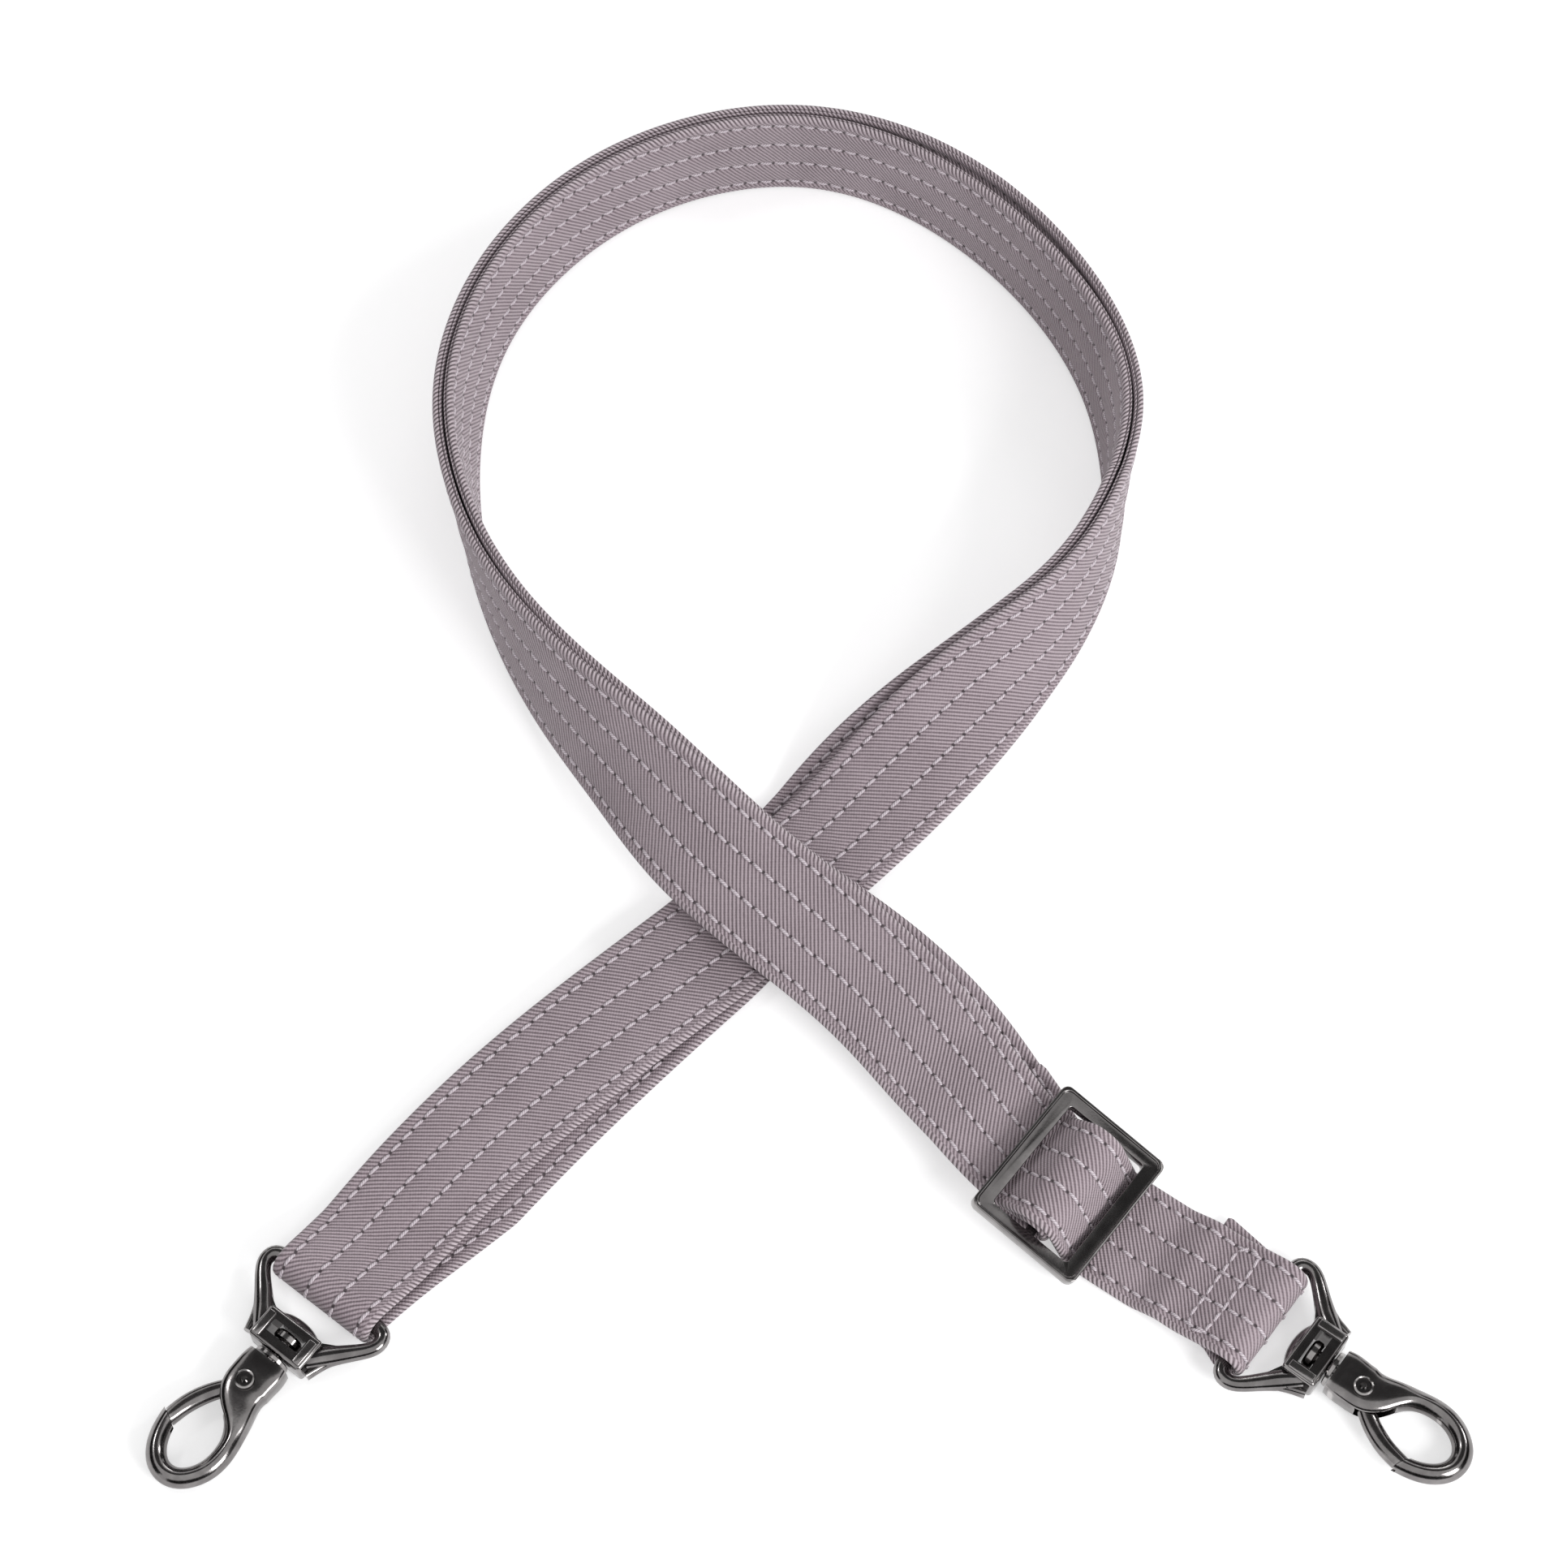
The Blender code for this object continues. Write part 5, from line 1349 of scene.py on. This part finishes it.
def webbing(name, stretch, finish, free_start, free_end):
    """The closed skin of one stretch, drawn in a little at a free end."""
    share, height, girth, swell = webbing_ring()
    rows = len(stretch.middle)
    along = stretch.along[:, None]
    shares = np.broadcast_to(share, (rows, len(share)))
    relief = np.broadcast_to(stretch.relief[:, None], shares.shape)
    heights = np.where(swell > 0, stretch.surface(along + 0 * shares, shares), height)
    heights = np.where(swell < 0, -face_height(shares, relief), heights)
    to_end = np.full(rows, END_TAPER)
    if free_start:
        to_end = np.minimum(to_end, stretch.along - stretch.along[0])
    if free_end:
        to_end = np.minimum(to_end, stretch.along[-1] - stretch.along)
    drawn = 1 - (1 - to_end / END_TAPER) ** 2
    heights = heights * (1 - END_THINNING * (1 - drawn))[:, None]
    wide = stretch.half - END_NARROWING * (1 - drawn)
    points = (
        stretch.middle[:, None, :]
        + stretch.across[:, None, :] * (shares * wide[:, None])[:, :, None]
        + stretch.face[:, None, :] * heights[:, :, None]
    )
    faces, uvs = tube(stretch.along, np.append(girth, 2 * HALF_GIRTH + girth[0]))
    made = mesh_piece(name, points, faces, uvs, finish)
    for cap in list(made.data.polygons)[-2:]:
        cap.use_smooth = False
    shape = bmesh.new()
    shape.from_mesh(made.data)
    bmesh.ops.recalc_face_normals(shape, faces=shape.faces[:])
    shape.to_mesh(made.data)
    shape.free()
    return made


def stitching(name, stretch, stitches, finish):
    """Short closed threads, one a stitch, that dip into their needle holes."""
    first_along, first_share, last_along, last_share, side = np.array(stitches).T[:, :, None]
    steps = STITCH_SHAPE[:, 0]
    along = first_along + (last_along - first_along) * steps
    share = first_share + (last_share - first_share) * steps
    height = side * (stretch.surface(along, share) + THREAD_RADIUS * STITCH_SHAPE[:, 2])
    form = (*along.shape, 3)
    middle = stretch.at(along.ravel(), share.ravel(), height.ravel()).reshape(form)
    way = unit(np.gradient(middle, axis=1))
    face = sampled(along.ravel(), stretch.along, stretch.face).reshape(form)
    across = unit(np.cross(face, way))
    face = np.cross(way, across)
    angles = (2 * math.pi * np.arange(THREAD_SIDES) / THREAD_SIDES)[:, None]
    reach = THREAD_RADIUS * STITCH_SHAPE[:, 1][:, None, None]
    points = (
        middle[:, :, None, :]
        + across[:, :, None, :] * np.cos(angles) * reach * THREAD_FLATNESS
        + face[:, :, None, :] * np.sin(angles) * reach
    )
    girth = 2 * math.pi * THREAD_RADIUS / THREAD_SIDES * np.arange(THREAD_SIDES + 1)
    one, uvs = tube((STITCH_LENGTH - STITCH_GAP) * steps, girth)
    each = len(steps) * THREAD_SIDES
    faces = [[corner + n * each for corner in ring] for n in range(len(stitches)) for ring in one]
    return mesh_piece(name, points, faces, np.tile(uvs, (len(stitches), 1)), finish)


def webbing_plan(route):
    """Every stretch of the one webbing in order: name, line, slips, what it does, and its stitched sides."""
    def slipped(points):
        return list(route.slip(np.array(points)[:, 0]))

    def level(points):
        return [0.0] * len(points)

    upper = refined(filleted(outer_profile(route.length)), FINE_STEP)
    lower = refined(filleted(return_profile(route.length)), FINE_STEP)
    loose = route.spread(np.array([p[0] for p in upper]))
    upper = [p + np.array([0.0, extra]) for p, extra in zip(upper, loose)]
    fold = next(i for i, p in enumerate(upper) if p[0] < 0)
    turned_at = next(i for i in range(fold, len(upper)) if upper[i][0] > 0)
    hook_run = HOOK_TAIL_LENGTH + STEP_DOWN_LENGTH * 1.5
    wave_back, wave_front = SLIDER_PLACE - WAVE_REACH, SLIDER_PLACE + WAVE_REACH
    tail_front = SLIDER_PLACE + SLIDER_TAIL_LENGTH + GAP
    run_front = tail_front + SLIDER_RUN_LENGTH
    top = upper[turned_at:]
    end_fold = next(i for i, p in enumerate(top) if p[0] > route.length)
    past = top[:end_fold]
    sewn = refined(upper[:turned_at] + between(past, past[0][0], hook_run)[1:], END_STEP)
    fold = next(i for i, p in enumerate(sewn) if p[0] < 0)
    wrap_start = next(i for i, p in enumerate(lower) if p[0] < tail_front)
    wrap = [np.array([tail_front, 0.0])] + lower[wrap_start:]
    back = [p for p in lower[1:wrap_start] if p[0] > run_front + GAP] + [np.array([run_front, 0.0])]
    loop = between(past, run_front, past[-1][0])[:-1] + top[end_fold - 1:] + back
    run = refined([np.array([run_front, 0.0]), np.array([tail_front, 0.0])], FINE_STEP)
    tail_slips = [float(np.interp(p[0], *zip(*TAIL_SLIPS))) if i < fold else 0.0 for i, p in enumerate(sewn)]
    loop_slips = level(loop[:-len(back)]) + slipped(back)
    end_run = between(past, hook_run, wave_back)
    middle = between(past, wave_back, wave_front)
    upper_run = between(past, wave_front, run_front)
    return (
        ("hook_end", sewn, tail_slips, "strap", (1,)),
        ("end_run", end_run, level(end_run), "forward", (1, -1)),
        ("wave", middle, level(middle), "slider", (1, -1)),
        ("upper_run", upper_run, level(upper_run), "backward", (1,)),
        ("loop", loop, loop_slips, "strap", (1,)),
        ("lower_run", run, slipped(run), "forward", (1,)),
        ("slider_wrap", wrap, slipped(wrap), "slider", (1,)),
    )


def build_strap(route, fabric, thread):
    """The webbing and its threads, riding on the strap or the slider, or staying where they lie between the
    two.
    """
    plan = webbing_plan(route)
    line = list(plan[0][1])
    offsets = list(plan[0][2])
    for _, points, slips, _, _ in plan[1:]:
        assert np.linalg.norm(points[0] - line[-1]) < CLOSED_MERGE
        line += list(points[1:])
        offsets += list(slips[1:])
    whole = whole_webbing(route, line, offsets)
    last = 0
    for name, points, slips, way, sides in plan:
        first, last = last, last + len(points) - 1
        stretch = whole.part(first, last)
        stitches = seam_stitches(stretch, sides)
        if name in ("loop", "lower_run"):
            stitches += peeping_stitches(stretch)
        if name == "hook_end":
            fold = next(i for i, p in enumerate(points) if p[0] < 0)
            on_top = [i for i in range(fold, len(points)) if points[i][0] > 0]
            places = [points[i][0] for i in on_top]
            stretch.box = [float(np.interp(row, places, whole.along[on_top])) for row in BOX_ROWS]
            stitches += box_stitches(stretch.box)
        cloth = webbing(f"webbing_{name}", stretch, fabric, name == "hook_end", name == "slider_wrap")
        seams = stitching(f"stitches_{name}", stretch, stitches, thread)
        ends = (stretch.middle[0], stretch.middle[-1])
        if way == "backward":
            ends = ends[::-1]
        for piece in (cloth, seams):
            if way in ("forward", "backward"):
                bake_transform(piece)
            else:
                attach(piece, way)
        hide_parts(f"strap_{name}")


def build_camera():
    data = bpy.data.cameras.new("camera")
    data.sensor_fit = "HORIZONTAL"
    data.sensor_width = SENSOR
    data.lens = FOCAL_PIXELS / PHOTO_WIDTH * SENSOR
    data.clip_start = 0.01
    made = placed("camera", data)
    back = Vector((0, -math.cos(CAMERA_ELEVATION), math.sin(CAMERA_ELEVATION)))
    made.location = Vector(SHIFT) + back * CAMERA_DISTANCE
    made.rotation_euler = (math.pi / 2 - CAMERA_ELEVATION, 0, 0)
    bpy.context.scene.camera = made


def seen_directly(tree):
    """1 for camera, glossy and clear rays, which show the white background, and 0 for light on the object."""
    path = tree.nodes.new("ShaderNodeLightPath")
    seen = calc(tree, "MAXIMUM", path.outputs["Is Camera Ray"], path.outputs["Is Glossy Ray"])
    return calc(tree, "MAXIMUM", seen, path.outputs["Is Transmission Ray"])


def build_world():
    world = bpy.data.worlds.new("sky")
    bpy.context.scene.world = world
    world.use_nodes = True
    tree = world.node_tree
    sky = tree.nodes["Background"]
    sky.inputs["Color"].default_value = (1, 1, 1, 1)
    strength = calc(tree, "MULTIPLY_ADD", seen_directly(tree), 1 - SKY_LIGHT, SKY_LIGHT)
    tree.links.new(strength, sky.inputs["Strength"])


def plate(name, centre, width, height, normal, finish):
    """A flat upright or leaning card that faces along its normal."""
    mesh = bpy.data.meshes.new(name)
    w, h = width / 2, height / 2
    mesh.from_pydata([(-w, -h, 0), (w, -h, 0), (w, h, 0), (-w, h, 0)], [], [(0, 1, 2, 3)])
    mesh.materials.append(finish)
    made = placed(name, mesh)
    made.location = centre
    made.rotation_euler = Vector(normal).to_track_quat("Z", "Y").to_euler()
    return made


def reflector(name, centre, width, height, grey):
    """A card that only shows in the metal, as a studio's grey and black cards do."""
    glow = {"Emission Color": (grey, grey, grey, 1), "Emission Strength": 1.0}
    dull = {"Base Color": (0, 0, 0, 1), "Roughness": 1.0, "Specular IOR Level": 0.0}
    card = plate(name, centre, width, height, -Vector(centre), new_material(name + "_look", glow | dull)[0])
    card.visible_camera = False
    card.visible_diffuse = False
    card.visible_shadow = False
    card.visible_transmission = False


def lamp(name, place, power, width, height):
    data = bpy.data.lights.new(name, "AREA")
    data.shape = "RECTANGLE"
    data.energy = power
    data.size = width
    data.size_y = height
    made = placed(name, data)
    made.location = place
    made.rotation_euler = (-Vector(place)).to_track_quat("-Z", "Y").to_euler()


def build_stage():
    bpy.context.scene.view_settings.view_transform = "Standard"
    build_world()
    white = {"Base Color": FLOOR_COLOUR, "Roughness": 0.9, "Emission Color": (1, 1, 1, 1)}
    made, tree, shader = new_material("floor_look", white)
    glow = calc(tree, "MULTIPLY", seen_directly(tree), FLOOR_GLOW)
    tree.links.new(glow, shader.inputs["Emission Strength"])
    plate("floor", (0, 0, -FLOOR_DROP), FLOOR_SIDE, FLOOR_SIDE, (0, 0, 1), made)
    for card in CARDS:
        reflector(*card)
    for light in LAMPS:
        lamp(*light)


def body_of(node):
    bodies = frame["record"]["behaviour"]["bodies"]
    return next(body for body, members in bodies.items() if node in members)


def settled(thing):
    """The final mesh of a piece, in the model's frame, as a plain object."""
    bpy.context.view_layer.update()
    graph = bpy.context.evaluated_depsgraph_get()
    mesh = bpy.data.meshes.new_from_object(thing.evaluated_get(graph))
    mesh.transform(thing.matrix_world)
    mesh.shade_smooth()
    mesh.set_sharp_from_angle(angle=SHARP_ANGLE)
    return placed("look_" + thing.name, mesh)


def build_metal(route, metal):
    """The slider and both hooks as finer forms of the CAD pieces, each riding where its CAD piece does."""
    slider(route)
    swivel_hook("right", route, 0.0, -1)
    swivel_hook("left", route, route.length, 1)
    for thing in list(WORK.objects):
        if thing.parent is None:
            thing.matrix_world = Matrix.Translation(Vector(SHIFT)) @ thing.matrix_world
    named = {thing.name.split(".")[0]: thing for thing in WORK.objects}
    looks = {node: settled(thing) for node, thing in named.items() if node in frame["nodes"]}
    for thing in list(WORK.objects):
        bpy.data.objects.remove(thing, do_unlink=True)
    bpy.data.collections.remove(WORK)
    for node, piece in looks.items():
        piece.data.materials.clear()
        piece.data.materials.append(metal)
        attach(piece, body_of(node))
        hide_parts(node)


build_camera()
build_stage()
webbing_route = Route()
build_strap(webbing_route, fabric_material(), thread_material())
build_metal(webbing_route, metal_material())
